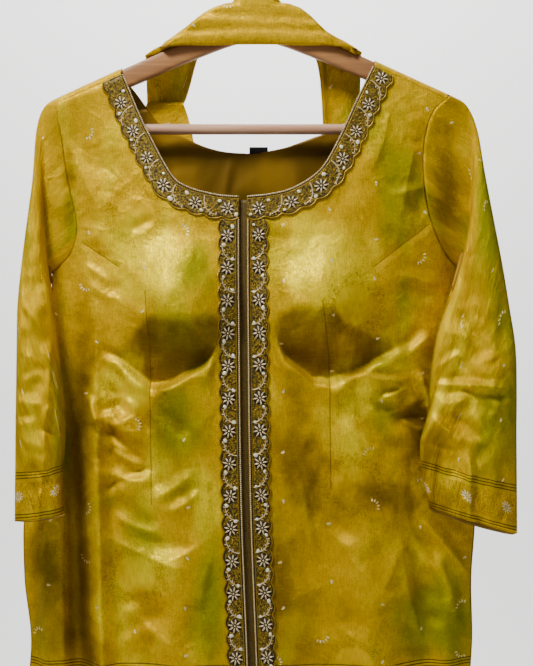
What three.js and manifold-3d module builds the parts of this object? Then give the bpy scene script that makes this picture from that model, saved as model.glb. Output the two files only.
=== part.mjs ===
// Sharara suit on a wooden hanger. The kurta, a short tunic, hangs from the arms of the hanger.
// The sharara, wide gathered trousers, is folded lengthwise, passes in front of the hook and
// over both arms, and hangs down behind the kurta.
// Millimetres, +Z up, the front faces -Y. The origin is the inside top of the hook, which a rail
// carries. "left" and "right" are as seen from the front, so left is -X.

import * as THREE from 'three';
import Module from 'manifold-3d';

// ---------- driving dimensions ----------
const WALL = 1.6; // one layer of lined silk
const TRIM_WALL = 1.2; // embroidered band with its backing
const SEAM = 0.35; // space between two pieces at a seam
const HEM_HEIGHT = -810;
const UNDERARM_HEIGHT = -345;
const RIDGE_TOP = -62; // the shoulder line: its height over the hook if it ran straight
const RIDGE_FALL = 0.46; // and its fall for each millimetre outwards
const RIDGE_ROUND = 18; // rounds the peak of the hanger under the hook
const SHOULDER_RADIUS = 16; // the cloth rolls over the arm of the hanger
const SEAM_DROP = 7.5; // the shoulder seam lies this far down in front
const SEAM_ROLL = 1.9; // a row between the seam and the shoulder line
const SIDE_DEPTH = 12; // the side seams lie this far back
const SIDE_POWER = 3; // how square the front and back turn towards the sides
const TOP_BLEND = 62; // below this depth under the shoulder the body has its full form
const FRONT_COLUMNS = 12;
const BACK_COLUMNS = 10;
const FRONT_NECK_ROWS = 8;
const BACK_NECK_ROWS = 6;
const FRONT_SKIRT_ROWS = 18;
const BACK_SKIRT_ROWS = 13;
const PLACKET_HALF_GAP = 4;
const UNDERLAP_HALF_WIDTH = 11;
const NECK_TRIM_WIDTH = 22;
const PLACKET_TRIM_WIDTH = 18;
const PLACKET_TRIM_START = 5.5; // from the centre line to the corded edge of the trim
const SCALLOP_PITCH = 17;
const SCALLOP_RISE = 3.2;
const TRIM_LIFT = 0.95; // over the faceted cloth under it
const CUFF_BACK_DROP = 7; // the back of the cuff hangs lower than its front
const ARM_SPAN = 212; // half of the hanger
const ARM_THICKNESS = 12;
const ARM_DROP = WALL / Math.cos(Math.atan(RIDGE_FALL)) + SEAM; // from the shoulder line
const BAR_RADIUS = 5.5;
const BAR_HEIGHT = -194;
const BAR_SPAN = 192;
const ROD_RADIUS = 1.9;
const HOOK_RADIUS = 19;
const HOOK_FOOT = -84; // the hook goes this far down into the wood
const SOCKET_TOP = -50;
const FRONT_NECK_DEPTH = -270;
const UNDERLAP_TOP = -272;
const BACK_CENTRE = -10;
const LABEL_DEPTH = 17.6;

// ---------- tables with named columns ----------
const table = (names, rows) =>
  rows.map((row) => Object.fromEntries(names.map((name, k) => [name, row[k]])));

// The half width of the body to each side, and how far its front and back stand out.
const BODY = table(['height', 'left', 'right', 'front', 'back'], [
  [-120, -224, 222, 18, 18],
  [-270, -222, 221, 34, 20],
  [-345, -220, 221, 40, 22],
  [-420, -226, 222, 42, 22],
  [-500, -236, 226, 42, 22],
  [-600, -250, 235, 40, 22],
  [-676, -250, 231, 38, 22],
  [-742, -243, 232, 36, 24],
  [-810, -249, 227, 36, 26],
]);

// The armhole from the shoulder line (share 0) to the underarm (share 1).
const ARMHOLE = table(['share', 'right', 'left', 'behind'], [
  [0, 205, 209, 207],
  [0.01, 204, 209.5, 207],
  [0.04, 202, 210, 206],
  [0.12, 190, 211, 203],
  [0.2, 183, 209, 200],
  [0.3, 178.5, 206.5, 197],
  [0.4, 177, 204, 195],
  [0.5, 177.5, 201, 194],
  [0.6, 180, 197, 194],
  [0.7, 184, 193, 195],
  [0.8, 191, 192, 198],
  [0.9, 201, 198, 205],
  [0.96, 211, 208, 213],
  [1, 221, 220, 221],
]);

// The neckline, from the shoulder seam down to the centre.
const NECK = {
  frontRight: table(['across', 'height'], [
    [126, 0], [119, -142], [104.5, -172], [88, -208], [68.5, -240.5], [41.5, -259.5], [17, -267], [-10, -270],
  ]),
  frontLeft: table(['across', 'height'], [
    [-144, 0], [-137, -153], [-124.4, -183], [-114, -204], [-91, -245.5], [-73, -259.5], [-42.5, -268], [-18, -270],
  ]),
  backRight: table(['across', 'height'], [
    [126, 0], [118, -150], [104, -174], [88, -190], [57, -202], [32, -211], [8, -216], [-10, -217.5],
  ]),
  backLeft: table(['across', 'height'], [
    [-144, 0], [-131, -152], [-114, -175], [-101, -190], [-75, -202], [-56, -210.5], [-33, -216], [-10, -217.5],
  ]),
};

// The line of the placket, which swings to the right towards the hem.
const PLACKET = table(['height', 'across'], [
  [-270, -14], [-377, -13.6], [-587, -11], [-760, -4.7], [-810, -3.5],
]);

// The padded cups inside the bodice.
const CUPS = table(['across', 'height', 'width', 'above', 'below', 'rise'], [
  [-80, -388, 79, 100, 62, 30],
  [68, -388, 80, 100, 60, 30],
]);

// The largest folds of the body: soft ridges (rise above 0) and troughs along a line.
const FRONT_FOLDS = table(['x0', 'z0', 'x1', 'z1', 'spread', 'rise'], [
  [-182, -400, -158, -810, 13, 17],
  [-204, -430, -188, -810, 12, -8],
  [-224, -620, -222, -830, 13, 9],
  [-124, -560, -116, -830, 24, -7],
  [-84, -600, -76, -830, 22, 7],
  [60, -560, 76, -830, 24, -6],
  [112, -560, 130, -830, 24, 9],
  [168, -560, 178, -830, 17, -8],
  [202, -650, 206, -830, 13, 8],
  [-166, -426, -117, -462, 11, 6],
  [-117, -464, -54, -432, 12, 4],
  [78, -471, 172, -428, 11, 6],
]);
const BACK_FOLDS = table(['x0', 'z0', 'x1', 'z1', 'spread', 'rise'], [
  [178, -480, 190, -830, 18, 9],
  [140, -430, 146, -830, 18, -7],
  [96, -560, 104, -830, 20, 8],
  [40, -700, 44, -830, 20, -7],
  [-204, -480, -214, -830, 13, 8],
]);

// The sleeves: a row for each ring, from its outer edge to its inner edge, and how far the ring
// stands out to the front and to the back.
const RING = ['outX', 'outZ', 'outY', 'inX', 'inZ', 'inY', 'front', 'back'];
const SLEEVE_RIGHT = table(RING, [
  [224, -168, 0, 225, -350, 7, 6, 13],
  [235.5, -194, -1, 220, -358, -3, 8, 13],
  [243, -240, -4, 207, -371, -12, 16, 14],
  [251, -286, -8, 199, -389, -19, 20, 15],
  [260, -338, -14, 191, -413, -26, 21, 16],
  [267, -385, -20, 185, -440, -32, 20, 17],
  [272.5, -428, -26, 182, -466, -36, 19, 17],
  [273, -475, -30, 179, -496, -38, 19, 17],
  [272.5, -520, -32, 171, -526, -40, 19, 17],
  [272.5, -568, -34, 173, -558, -40, 20, 18],
  [272.5, -621, -35, 181, -594, -40, 21, 19],
]);
const SLEEVE_LEFT = table(RING, [
  [-226, -169, 0, -224, -350, 7, 6, 13],
  [-235, -194, -1, -220, -358, -3, 9, 14],
  [-238.5, -246, -4, -218, -371, -12, 16, 16],
  [-242.5, -284, -8, -215, -388, -18, 22, 18],
  [-247.5, -330, -13, -212, -409, -24, 26, 20],
  [-251.5, -378, -19, -208, -433, -30, 28, 22],
  [-251.5, -424, -25, -204, -457, -35, 30, 24],
  [-251.5, -468, -30, -200.5, -487, -39, 30, 25],
  [-251.5, -514, -33, -200, -523, -42, 30, 25],
  [-251.5, -560, -36, -202, -560, -44, 30, 25],
  [-251.5, -607, -38, -200, -599, -45, 31, 26],
]);
// Folds of the sleeves: along is the row, around is the share from the outer to the inner edge.
const SLEEVE_FOLDS = table(['along0', 'around0', 'along1', 'around1', 'spread', 'rise'], [
  [6.2, 0.1, 6.6, 0.9, 0.5, -3.5],
  [7.2, 0.15, 7.0, 0.95, 0.4, 4],
  [8.2, 0.5, 10.2, 0.55, 0.5, 4],
]);

// The folded sharara over the hanger: a row for each section across. The cloth stands up to its
// top edge, and where the wrap is 1 it goes over the arm and hangs down behind to its foot.
const UPPER_LEGS = table(['across', 'front', 'top', 'wrap', 'foot', 'lip'], [
  [-119, -130, -200, 1, -165.5, 0],
  [-110, -125, -200, 1, -165.5, 0],
  [-103, -120, -200, 1, -165.5, 0],
  [-99, -109, -101, 1, -165.5, 0.8],
  [-92, -107, -97, 1, -165.5, 1],
  [-84, -106.5, -91, 1, -165.5, 1],
  [-78.5, -106, -87, 1, -163, 1],
  [-72, -106, -82, 1, -142, 1],
  [-65, -106, -76, 1, -116, 1],
  [-57, -106, -70, 1, -102, 1],
  [-46, -106, -62, 0.8, -92, 1],
  [-32, -105.5, -53, 0.4, -84, 1],
  [-18, -105, -47, 0, -80, 1],
  [0, -105, -45, 0, -80, 1],
  [18, -105, -47, 0, -80, 1],
  [32, -105.5, -53, 0.4, -84, 1],
  [46, -106, -62, 0.8, -94, 1],
  [57, -106, -72, 1, -104, 1],
  [65, -106, -80, 1, -116, 1],
  [71, -106, -86, 1, -150, 1],
  [74, -106, -89, 1, -262, 1],
  [84, -107, -95, 1, -264, 1],
  [94, -108, -100, 1, -264, 1],
  [103, -111, -106, 1, -264, 1],
  [108, -118, -200, 1, -264, 0.3],
  [112, -122, -200, 1, -262, 0],
]);
const LEGS_LAYERS = 6; // thickness of the folded layers
const LEGS_FRONT = -10.4; // the middle of the layers in front of the hook
const LEGS_BEHIND = 27; // and behind the back of the kurta
const LEGS_SETBACK = 50; // they are fully behind this far below the arm
const LEGS_BEND = 4; // how round the layers go over the arm

// The gathered flares and the waistband: a row for each section.
const SHARARA_FLARES = table(['height', 'left', 'right', 'depth', 'wave'], [
  [-167.5, -118, -80, 7, 1.5],
  [-176, -124, -75, 12, 3],
  [-196, -131, -70, 17, 4],
  [-240, -140, -62, 20, 5],
  [-300, -149, -55, 22, 6],
  [-380, -157, -49, 24, 6.5],
  [-460, -163, -44, 25, 7],
  [-540, -168, -40, 26, 7.5],
  [-620, -171, -36, 27, 8],
  [-668, -172, -34, 27, 8],
]);
const SHARARA_WAIST = table(['height', 'left', 'right', 'depth', 'wave'], [
  [-266.6, 74, 112, 8, 1.2],
  [-271, 74, 114, 9, 1.6],
  [-286, 74, 116, 9.5, 1.8],
  [-302, 72, 118, 9, 1.6],
  [-307, 71, 119, 8, 1.2],
]);
const FLARE_PLEATS = 6;
const WAIST_PLEATS = 5;

// The height of the wood down from the shoulder line.
const ARM_WOOD = table(['across', 'height'], [
  [0, 27], [60, 24], [120, 22.5], [160, 22], [176, 25], [187, 44], [196, 51], [205, 46], [212, 30],
]);

// The wire of the hook from its foot in the wood to its free end.
const HOOK_PATH = table(['across', 'height'], [
  [0, HOOK_FOOT], [0, -60], [3, -50], [13, -36.5],
]);

// ---------- small helpers ----------
const clamp = (value, low, high) => Math.min(Math.max(value, low), high);
const mix = (a, b, t) => a + (b - a) * t;
const ease = (t) => clamp(t, 0, 1) ** 2 * (3 - 2 * clamp(t, 0, 1));
const point = (x, y, z) => new THREE.Vector3(x, y, z);

// Reads a column of a table at a key, along a smooth curve through its rows.
function read(rows, key, at, name) {
  const rising = rows[1][key] > rows[0][key];
  const order = (row) => (rising ? row[key] : -row[key]);
  const target = rising ? at : -at;
  let k = 0;
  while (k < rows.length - 2 && order(rows[k + 1]) < target) k += 1;
  const before = rows[Math.max(k - 1, 0)];
  const start = rows[k];
  const end = rows[k + 1];
  const after = rows[Math.min(k + 2, rows.length - 1)];
  const span = order(end) - order(start);
  const t = clamp((target - order(start)) / span, 0, 1);
  const slopeIn = ((end[name] - before[name]) / (order(end) - order(before))) * span;
  const slopeOut = ((after[name] - start[name]) / (order(after) - order(start))) * span;
  const a = 2 * t ** 3 - 3 * t ** 2 + 1;
  const b = t ** 3 - 2 * t ** 2 + t;
  const c = -2 * t ** 3 + 3 * t ** 2;
  const d = t ** 3 - t ** 2;
  return a * start[name] + b * slopeIn + c * end[name] + d * slopeOut;
}

// How much a set of folds lifts the cloth at one place.
function lift(folds, x, z) {
  let total = 0;
  for (const fold of folds) {
    const runX = fold.x1 - fold.x0;
    const runZ = fold.z1 - fold.z0;
    const length = Math.hypot(runX, runZ);
    const along = ((x - fold.x0) * runX + (z - fold.z0) * runZ) / length;
    const off = ((x - fold.x0) * runZ - (z - fold.z0) * runX) / length;
    const fade = ease(along / (0.35 * length)) * ease((length - along) / (0.2 * length));
    total += fold.rise * fade * Math.exp(-((off / fold.spread) ** 2));
  }
  return total;
}

// The rise of the padded cups.
function cupRise(x, z) {
  let total = 0;
  for (const cup of CUPS) {
    const up = z > cup.height ? cup.above : cup.below;
    const reach = Math.hypot((x - cup.across) / cup.width, (z - cup.height) / up);
    total += cup.rise * Math.cos((Math.PI / 2) * Math.min(reach, 1)) ** 2;
  }
  return total;
}

// ---------- the body ----------
const ridge = (x) => RIDGE_TOP - RIDGE_FALL * Math.hypot(x, RIDGE_ROUND);
const placketLine = (z) => read(PLACKET, 'height', z, 'across');
const bodyEdge = (side, z) => read(BODY, 'height', z, side < 0 ? 'left' : 'right');

// The roll of the cloth over the arm of the hanger, from its depth under the shoulder line.
function shoulderRoll(below) {
  const rest = 1 - clamp(below, 0, SHOULDER_RADIUS) / SHOULDER_RADIUS;
  return SHOULDER_RADIUS * Math.sqrt(1 - rest * rest);
}

// The body's surface: face is -1 for the front and 1 for the back.
function bodyDepth(face, x, z) {
  const left = bodyEdge(-1, z);
  const right = bodyEdge(1, z);
  const share = clamp(Math.abs(x - (left + right) / 2) / ((right - left) / 2), 0, 1);
  const fall = 1 - share ** SIDE_POWER;
  const below = ridge(x) - z;
  const side = SIDE_DEPTH * ease(below / -UNDERARM_HEIGHT / 0.5);
  const stand = face < 0 ? -read(BODY, 'height', z, 'front') : read(BODY, 'height', z, 'back');
  const bumps = face < 0 ? cupRise(x, z) + lift(FRONT_FOLDS, x, z) : lift(BACK_FOLDS, x, z);
  const form = side + (stand - side) * fall + face * bumps * Math.min(1, fall * 5);
  return mix(face * shoulderRoll(below), form, ease(below / TOP_BLEND));
}
const bodyPoint = (face, x, z) => point(x, bodyDepth(face, x, z), z);

// One point of the armhole's edge.
function armholePoint(side, face, row) {
  const name = face > 0 ? 'behind' : side < 0 ? 'left' : 'right';
  const x = side * row[name];
  const top = ridge(x);
  const z = mix(top, UNDERARM_HEIGHT, row.share);
  if (row.share === 1) return point(side * ARMHOLE.at(-1)[side < 0 ? 'left' : 'right'], SIDE_DEPTH, z);
  return bodyPoint(face, x, z);
}

// The whole armhole, from the shoulder down the front and up the back, with the direction in
// which its wall has its thickness.
function armholeLoop(side) {
  const front = ARMHOLE.map((row) => armholePoint(side, -1, row));
  const back = ARMHOLE.slice(1, -1).map((row) => armholePoint(side, 1, row)).reverse();
  const loop = [...front, ...back];
  loop.forEach((p, k) => {
    const before = loop[(k + loop.length - 1) % loop.length];
    const after = loop[(k + 1) % loop.length];
    const alongY = after.y - before.y;
    const alongZ = after.z - before.z;
    const low = ease((UNDERARM_HEIGHT + 12 - p.z) / 12);
    p.inward = point(0, -alongZ, alongY).normalize();
    p.inward.x = -side * low;
  });
  return loop;
}
const SEAM_REST = 1 - SEAM_DROP / SHOULDER_RADIUS;
const SEAM_INWARD = point(0, Math.sqrt(1 - SEAM_REST ** 2), -SEAM_REST);
const ARMHOLES = { '-1': armholeLoop(-1), 1: armholeLoop(1) };
const ROWS_DOWN = ARMHOLE.length - 1;

// A point of the armhole by its row: rows above 0 are in front, below 0 behind.
const onArmhole = (side, row) => ARMHOLES[side].at(row);

// Even steps along a neckline in the plane of the front.
function neckPoints(face, side, steps) {
  const rows = NECK[(face < 0 ? 'front' : 'back') + (side < 0 ? 'Left' : 'Right')];
  const places = rows.map((row) => new THREE.Vector2(row.across, row.height));
  places[0].y = ridge(rows[0].across) - SEAM_DROP;
  return new THREE.SplineCurve(places).getSpacedPoints(steps);
}

// Half of a panel: rows of points from the neck and centre line out to the armhole and side.
function halfPanel(face, side, neckRows, skirtRows, columns) {
  const neck = neckPoints(face, side, neckRows);
  const rows = [];
  const bottom = neck.at(-1);
  const firstRow = 2;
  for (let k = firstRow; k <= ROWS_DOWN; k += 1) {
    const outer = onArmhole(side, face < 0 ? k : -k).clone();
    outer.inward = onArmhole(side, face < 0 ? k : -k).inward;
    if (k === ROWS_DOWN) outer.y += 0.5 * SEAM * face;
    const step = k - firstRow;
    const rowsBelow = ROWS_DOWN - firstRow - neckRows;
    const drop = Math.max(step - neckRows, 0) / rowsBelow;
    const inner = step <= neckRows ? neck[step].clone() : bottom.clone();
    inner.y = mix(inner.y, UNDERARM_HEIGHT, drop);
    if (step > neckRows) inner.x = centreLine(face, side, inner.y);
    rows.push(panelRow(face, inner, outer, columns, step / (ROWS_DOWN - firstRow)));
    if (face < 0 && step === 0) rows[0].slice(0, -1).forEach((place) => { place.inward = SEAM_INWARD; });
  }
  for (let k = 1; k <= skirtRows; k += 1) {
    const z = mix(UNDERARM_HEIGHT, HEM_HEIGHT, k / skirtRows);
    const outer = point(bodyEdge(side, z), SIDE_DEPTH + 0.5 * SEAM * face, z);
    outer.inward = point(-side, 0, 0);
    const inner = new THREE.Vector2(centreLine(face, side, z), z);
    rows.push(panelRow(face, inner, outer, columns, 1));
  }
  return rows;
}
const centreLine = (face, side, z) => (face < 0 ? placketLine(z) + side * PLACKET_HALF_GAP : BACK_CENTRE);

// One row of a panel; the upper rows follow the shoulder line, the lower ones run level.
function panelRow(face, inner, outer, columns, level) {
  const row = [];
  const innerBelow = ridge(inner.x) - inner.y;
  const outerBelow = ridge(outer.x) - outer.z;
  for (let k = 0; k < columns; k += 1) {
    const t = k / columns;
    const x = mix(inner.x, outer.x, t);
    const sloped = ridge(x) - mix(innerBelow, outerBelow, t);
    row.push(bodyPoint(face, x, mix(sloped, mix(inner.y, outer.z, t), level)));
  }
  row.push(outer);
  return row;
}

// The rows of the back that roll forward over the arm of the hanger to the shoulder seam.
function shoulderRows(side, columns) {
  const inner = NECK[side < 0 ? 'backLeft' : 'backRight'][0].across;
  const rolls = [[-1, SEAM_DROP, 2], [-1, SEAM_ROLL, 1], [1, 0, 0], [1, SEAM_ROLL, -1]];
  return rolls.map(([face, below, index]) => {
    const outer = onArmhole(side, index).clone();
    outer.inward = onArmhole(side, index).inward;
    const row = [];
    for (let k = 0; k < columns; k += 1) {
      const x = mix(inner, outer.x, k / columns);
      const drop = mix(below, ridge(outer.x) - outer.z, k / columns);
      const place = bodyPoint(face, x, ridge(x) - drop);
      if (below === SEAM_DROP) place.inward = SEAM_INWARD;
      row.push(place);
    }
    row.push(outer);
    return row;
  });
}

// ---------- walls ----------
// Collects the points and quads of one side of a cloth, then gives it its thickness.
class Cloth {
  constructor() {
    this.points = [];
    this.quads = [];
    this.found = new Map();
  }

  index(place) {
    const key = [place.x, place.y, place.z].map((value) => value.toFixed(3)).join(' ');
    if (!this.found.has(key)) {
      this.found.set(key, this.points.length);
      this.points.push(place);
    }
    return this.found.get(key);
  }

  // Adds rows of points; flip turns the face to the other side.
  add(rows, flip = false, closed = false) {
    for (let i = 0; i < rows.length - 1; i += 1) {
      const count = rows[i].length;
      for (let j = 0; j < (closed ? count : count - 1); j += 1) {
        const next = (j + 1) % count;
        const quad = [rows[i][j], rows[i + 1][j], rows[i + 1][next], rows[i][next]];
        const corners = quad.map((place) => this.index(place));
        this.quads.push(flip ? corners.reverse() : corners);
      }
    }
    return this;
  }

  normals() {
    const normals = this.points.map(() => point(0, 0, 0));
    for (const [a, b, c, d] of this.quads) {
      const across = this.points[c].clone().sub(this.points[a]);
      const up = this.points[d].clone().sub(this.points[b]);
      const face = across.cross(up);
      [a, b, c, d].forEach((k) => normals[k].add(face));
    }
    return normals.map((normal) => normal.normalize());
  }

  // A closed wall: this side is outside, the other is moved in, and the open edges are rimmed.
  wall(thickness) {
    const normals = this.normals();
    const count = this.points.length;
    const inner = this.points.map((place, k) => {
      const inward = place.inward ?? normals[k].clone().negate();
      return place.clone().addScaledVector(inward, thickness);
    });
    const faces = [];
    const edges = new Map();
    for (const quad of this.quads) {
      const [a, b, c, d] = quad;
      faces.push([a, b, c], [a, c, d]);
      faces.push([c + count, b + count, a + count], [d + count, c + count, a + count]);
      quad.forEach((from, k) => edges.set(`${from} ${quad[(k + 1) % 4]}`, [from, quad[(k + 1) % 4]]));
    }
    for (const [from, to] of edges.values()) {
      if (edges.has(`${to} ${from}`)) continue;
      faces.push([from + count, to, from], [from + count, to + count, to]);
    }
    const points = [...this.points, ...inner];
    if (volume(points, faces) < 0) faces.forEach((face) => face.reverse());
    return solid(points, faces);
  }
}

function solid(points, faces) {
  const geometry = new THREE.BufferGeometry();
  geometry.setAttribute('position', new THREE.Float32BufferAttribute(points.flatMap((p) => [p.x, p.y, p.z]), 3));
  geometry.setIndex(faces.flat());
  return geometry;
}

// A closed body through rings of equal length, with a cap at each end.
function loft(rings) {
  const count = rings[0].length;
  const faces = [];
  for (let i = 0; i < rings.length - 1; i += 1) {
    for (let j = 0; j < count; j += 1) {
      const next = (j + 1) % count;
      const [a, b] = [i * count + j, i * count + next];
      faces.push([a, b, b + count], [a, b + count, a + count]);
    }
  }
  for (const [ring, turn] of [[0, true], [rings.length - 1, false]]) {
    const outline = rings[ring];
    const flat = capPlane(outline);
    for (const face of THREE.ShapeUtils.triangulateShape(flat, [])) {
      const corners = face.map((k) => ring * count + k);
      faces.push(turn ? corners.reverse() : corners);
    }
  }
  const points = rings.flat();
  if (volume(points, faces) < 0) faces.forEach((face) => face.reverse());
  return solid(points, faces);
}

// Lays a ring flat for its cap, keeping the ring's direction of turning.
function capPlane(outline) {
  const normal = point(0, 0, 0);
  outline.forEach((p, k) => normal.add(p.clone().cross(outline[(k + 1) % outline.length])));
  normal.normalize();
  const helper = Math.abs(normal.z) < 0.9 ? point(0, 0, 1) : point(1, 0, 0);
  const across = helper.clone().cross(normal).normalize();
  const up = normal.clone().cross(across);
  return outline.map((p) => new THREE.Vector2(p.dot(across), p.dot(up)));
}

function volume(points, faces) {
  let total = 0;
  for (const [a, b, c] of faces) total += points[a].dot(points[b].clone().cross(points[c])) / 6;
  return total;
}

// ---------- what lies on the front ----------
// The depth of the faceted front at one place, so that trims lie on its facets.
class Ground {
  constructor(quads) {
    this.triangles = quads.flatMap(([a, b, c, d]) => [[a, b, c], [a, c, d]]);
  }

  depth(x, z, fallback) {
    let best = null;
    for (const [a, b, c] of this.triangles) {
      const area = (b.x - a.x) * (c.z - a.z) - (c.x - a.x) * (b.z - a.z);
      const u = ((x - a.x) * (c.z - a.z) - (c.x - a.x) * (z - a.z)) / area;
      const v = ((b.x - a.x) * (z - a.z) - (x - a.x) * (b.z - a.z)) / area;
      if (u < 0 || v < 0 || u + v > 1) continue;
      const y = a.y + u * (b.y - a.y) + v * (c.y - a.y);
      best = best === null ? y : Math.min(best, y);
    }
    return best ?? fallback;
  }
}

// A band on the front: rows of places in its plane, moved out from the cloth and given a wall.
function band(ground, rows) {
  const cloth = new Cloth();
  const raised = rows.map((row) => row.map((place) => {
    const under = ground.depth(place.x, place.y, bodyDepth(-1, place.x, place.y));
    const top = point(place.x, under - TRIM_LIFT - TRIM_WALL, place.y);
    top.inward = point(0, 1, 0);
    return top;
  }));
  return cloth.add(raised).wall(TRIM_WALL);
}

const scallop = (distance) => SCALLOP_RISE * Math.abs(Math.sin((Math.PI * distance) / SCALLOP_PITCH));

// The neck trim follows the neckline from the shoulder seam to the placket.
function neckTrim(side, ground) {
  const segments = 48;
  const line = neckPoints(-1, side, segments);
  const length = line.slice(1).reduce((sum, p, k) => sum + p.distanceTo(line[k]), 0);
  const rows = line.map((place, k) => {
    const before = line[Math.max(k - 1, 0)];
    const after = line[Math.min(k + 1, segments)];
    const out = new THREE.Vector2(after.y - before.y, before.x - after.x).normalize();
    if (out.x * side < 0 && k < segments / 2) out.negate();
    if (out.y > 0) out.negate();
    if (k === segments) out.set(0, -1);
    const width = NECK_TRIM_WIDTH + scallop((length * k) / segments);
    const start = place.clone().addScaledVector(out, -1);
    if (k === 0) start.y -= 1.5;
    const end = place.clone().addScaledVector(out, width);
    if (k < 3) end.y = Math.min(end.y, ridge(end.x) - SEAM_DROP - 2.5);
    if (k === segments) end.x = start.x;
    return [start, start.clone().lerp(end, 0.5), end];
  });
  return band(ground, rows);
}

// The placket trim runs down beside the centre line to the hem.
function placketTrim(side, ground) {
  const top = FRONT_NECK_DEPTH - NECK_TRIM_WIDTH - SCALLOP_RISE - SEAM - 1;
  const bottom = HEM_HEIGHT + 0.5;
  const segments = Math.round((top - bottom) / SCALLOP_PITCH) * 3;
  const rows = [];
  for (let k = 0; k <= segments; k += 1) {
    const z = mix(top, bottom, k / segments);
    const inner = placketLine(z) + side * PLACKET_TRIM_START;
    const width = PLACKET_TRIM_WIDTH + scallop((k * SCALLOP_PITCH) / 3);
    rows.push([0, 0.5, 1].map((share) => new THREE.Vector2(inner + side * width * share, z)));
  }
  return band(ground, rows);
}

// ---------- the sleeves ----------
// The share of a ring's width at each point, rounded at both edges.
function sleeveRing(side, rows, along) {
  const row = rows[along];
  const last = rows.length - 1;
  const loop = [...ARMHOLE.map((hole) => [hole.share, -1]), ...ARMHOLE.slice(1, -1).reverse().map((hole) => [hole.share, 1])];
  return loop.map(([share, face]) => {
    const round = Math.sqrt(1 - (1 - 2 * share) ** 2) ** 0.6;
    const stand = face < 0 ? -row.front : row.back;
    let fold = 0;
    for (const crease of SLEEVE_FOLDS) {
      const t = clamp((share - crease.around0) / (crease.around1 - crease.around0), 0, 1);
      const off = along + 1 - mix(crease.along0, crease.along1, t);
      fold += crease.rise * round * Math.exp(-((off / crease.spread) ** 2));
    }
    const place = point(mix(row.outX, row.inX, share), mix(row.outY, row.inY, share), mix(row.outZ, row.inZ, share));
    place.y += (stand + face * fold) * round;
    if (along === last && face > 0) place.z -= CUFF_BACK_DROP * round;
    return place;
  });
}

function sleeve(side, rows) {
  const first = ARMHOLES[side].map((place) => {
    const moved = place.clone().add(point(side * SEAM, 0, 0));
    moved.inward = place.inward;
    return moved;
  });
  const rings = [first, ...rows.map((row, k) => sleeveRing(side, rows, k))];
  return new Cloth().add(rings, side < 0, true).wall(WALL);
}

// ---------- the sharara ----------
// One section across the folded legs: the layers stand in front of the hook, and where they
// wrap the arm they go over it and hang down behind.
function legsSection(row) {
  const x = row.across;
  const half = LEGS_LAYERS / 2;
  const seated = ridge(x) - ARM_DROP + 2.4 * SEAM + half;
  const top = mix(row.top - half, Math.max(row.top - half, seated), ease(row.wrap * 2 - 1));
  const bend = top - LEGS_BEND;
  const turn = (angle) => [LEGS_FRONT * Math.cos(angle), bend + LEGS_BEND * Math.sin(angle)];
  const over = [0, 0.35, 0.7].map((share) => {
    const lip = [LEGS_FRONT, mix(row.front, bend, share / 0.7)];
    const onTop = turn(Math.PI * mix(0.32, 0.45, share));
    return [mix(onTop[0], lip[0], row.lip), mix(onTop[1], lip[1], row.lip)];
  });
  const turns = 4;
  for (let k = 1; k <= turns; k += 1) over.push(turn(Math.PI * mix(mix(0.5, 0, row.lip), 1, k / turns)));
  const downs = 5;
  const foot = Math.min(row.foot, bend - 8);
  for (let k = 1; k <= downs; k += 1) {
    const z = mix(bend, foot, k / downs);
    over.push([mix(-LEGS_FRONT, LEGS_BEHIND, ease((bend - z) / LEGS_SETBACK)), z]);
  }
  const last = over.length - 1;
  const line = over.map(([y, z], k) => {
    const upright = mix(row.front, top, k < 3 ? 0.35 * k : mix(0.7, 1, (k - 2) / (last - 2)));
    return [mix(LEGS_FRONT, y, row.wrap), mix(upright, z, row.wrap)];
  });
  return thicken(line, half).map(([y, z]) => point(x, y, z));
}

// Gives an open line in the plane of y and z an even thickness.
function thicken(line, half) {
  const sides = line.map(([y, z], k) => {
    const [y0, z0] = line[Math.max(k - 1, 0)];
    const [y1, z1] = line[Math.min(k + 1, line.length - 1)];
    const length = Math.hypot(y1 - y0, z1 - z0);
    const out = [-(z1 - z0) / length, (y1 - y0) / length];
    return [[y + out[0] * half, z + out[1] * half], [y - out[0] * half, z - out[1] * half]];
  });
  return [...sides.map(([outer]) => outer), ...sides.map(([, inner]) => inner).reverse()];
}

// A gathered stack of layers behind the back of the kurta.
function gathered(rows, pleats, gap) {
  const steps = pleats * 4;
  return loft(rows.map((row) => {
    const ring = [];
    const frontSteps = 6;
    for (let k = 0; k <= frontSteps; k += 1) {
      const x = mix(row.left, row.right, k / frontSteps);
      ring.push(point(x, bodyDepth(1, x, Math.min(row.height, -225)) + gap, row.height));
    }
    for (let k = 0; k <= steps; k += 1) {
      const t = k / steps;
      const round = Math.sqrt(Math.max(1 - (2 * t - 1) ** 4, 0));
      const wave = row.wave * Math.cos(2 * Math.PI * pleats * t);
      const x = mix(row.right, row.left, t);
      const front = bodyDepth(1, x, Math.min(row.height, -225)) + gap;
      ring.push(point(x, front + 1.2 + (row.depth - 1.2 - row.wave + wave) * mix(0.15, 1, round), row.height));
    }
    return ring;
  }));
}

// ---------- the hanger ----------
const wasm = await Module();
wasm.setup();

function toManifold(geometry) {
  const positions = new Float32Array(geometry.attributes.position.array);
  const triangles = new Uint32Array(geometry.index.array);
  return new wasm.Manifold(new wasm.Mesh({ numProp: 3, vertProperties: positions, triVerts: triangles }));
}

function fromManifold(body) {
  const mesh = body.getMesh();
  const geometry = new THREE.BufferGeometry();
  geometry.setAttribute('position', new THREE.BufferAttribute(mesh.vertProperties, 3));
  geometry.setIndex(new THREE.BufferAttribute(mesh.triVerts, 1));
  return geometry;
}

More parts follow.
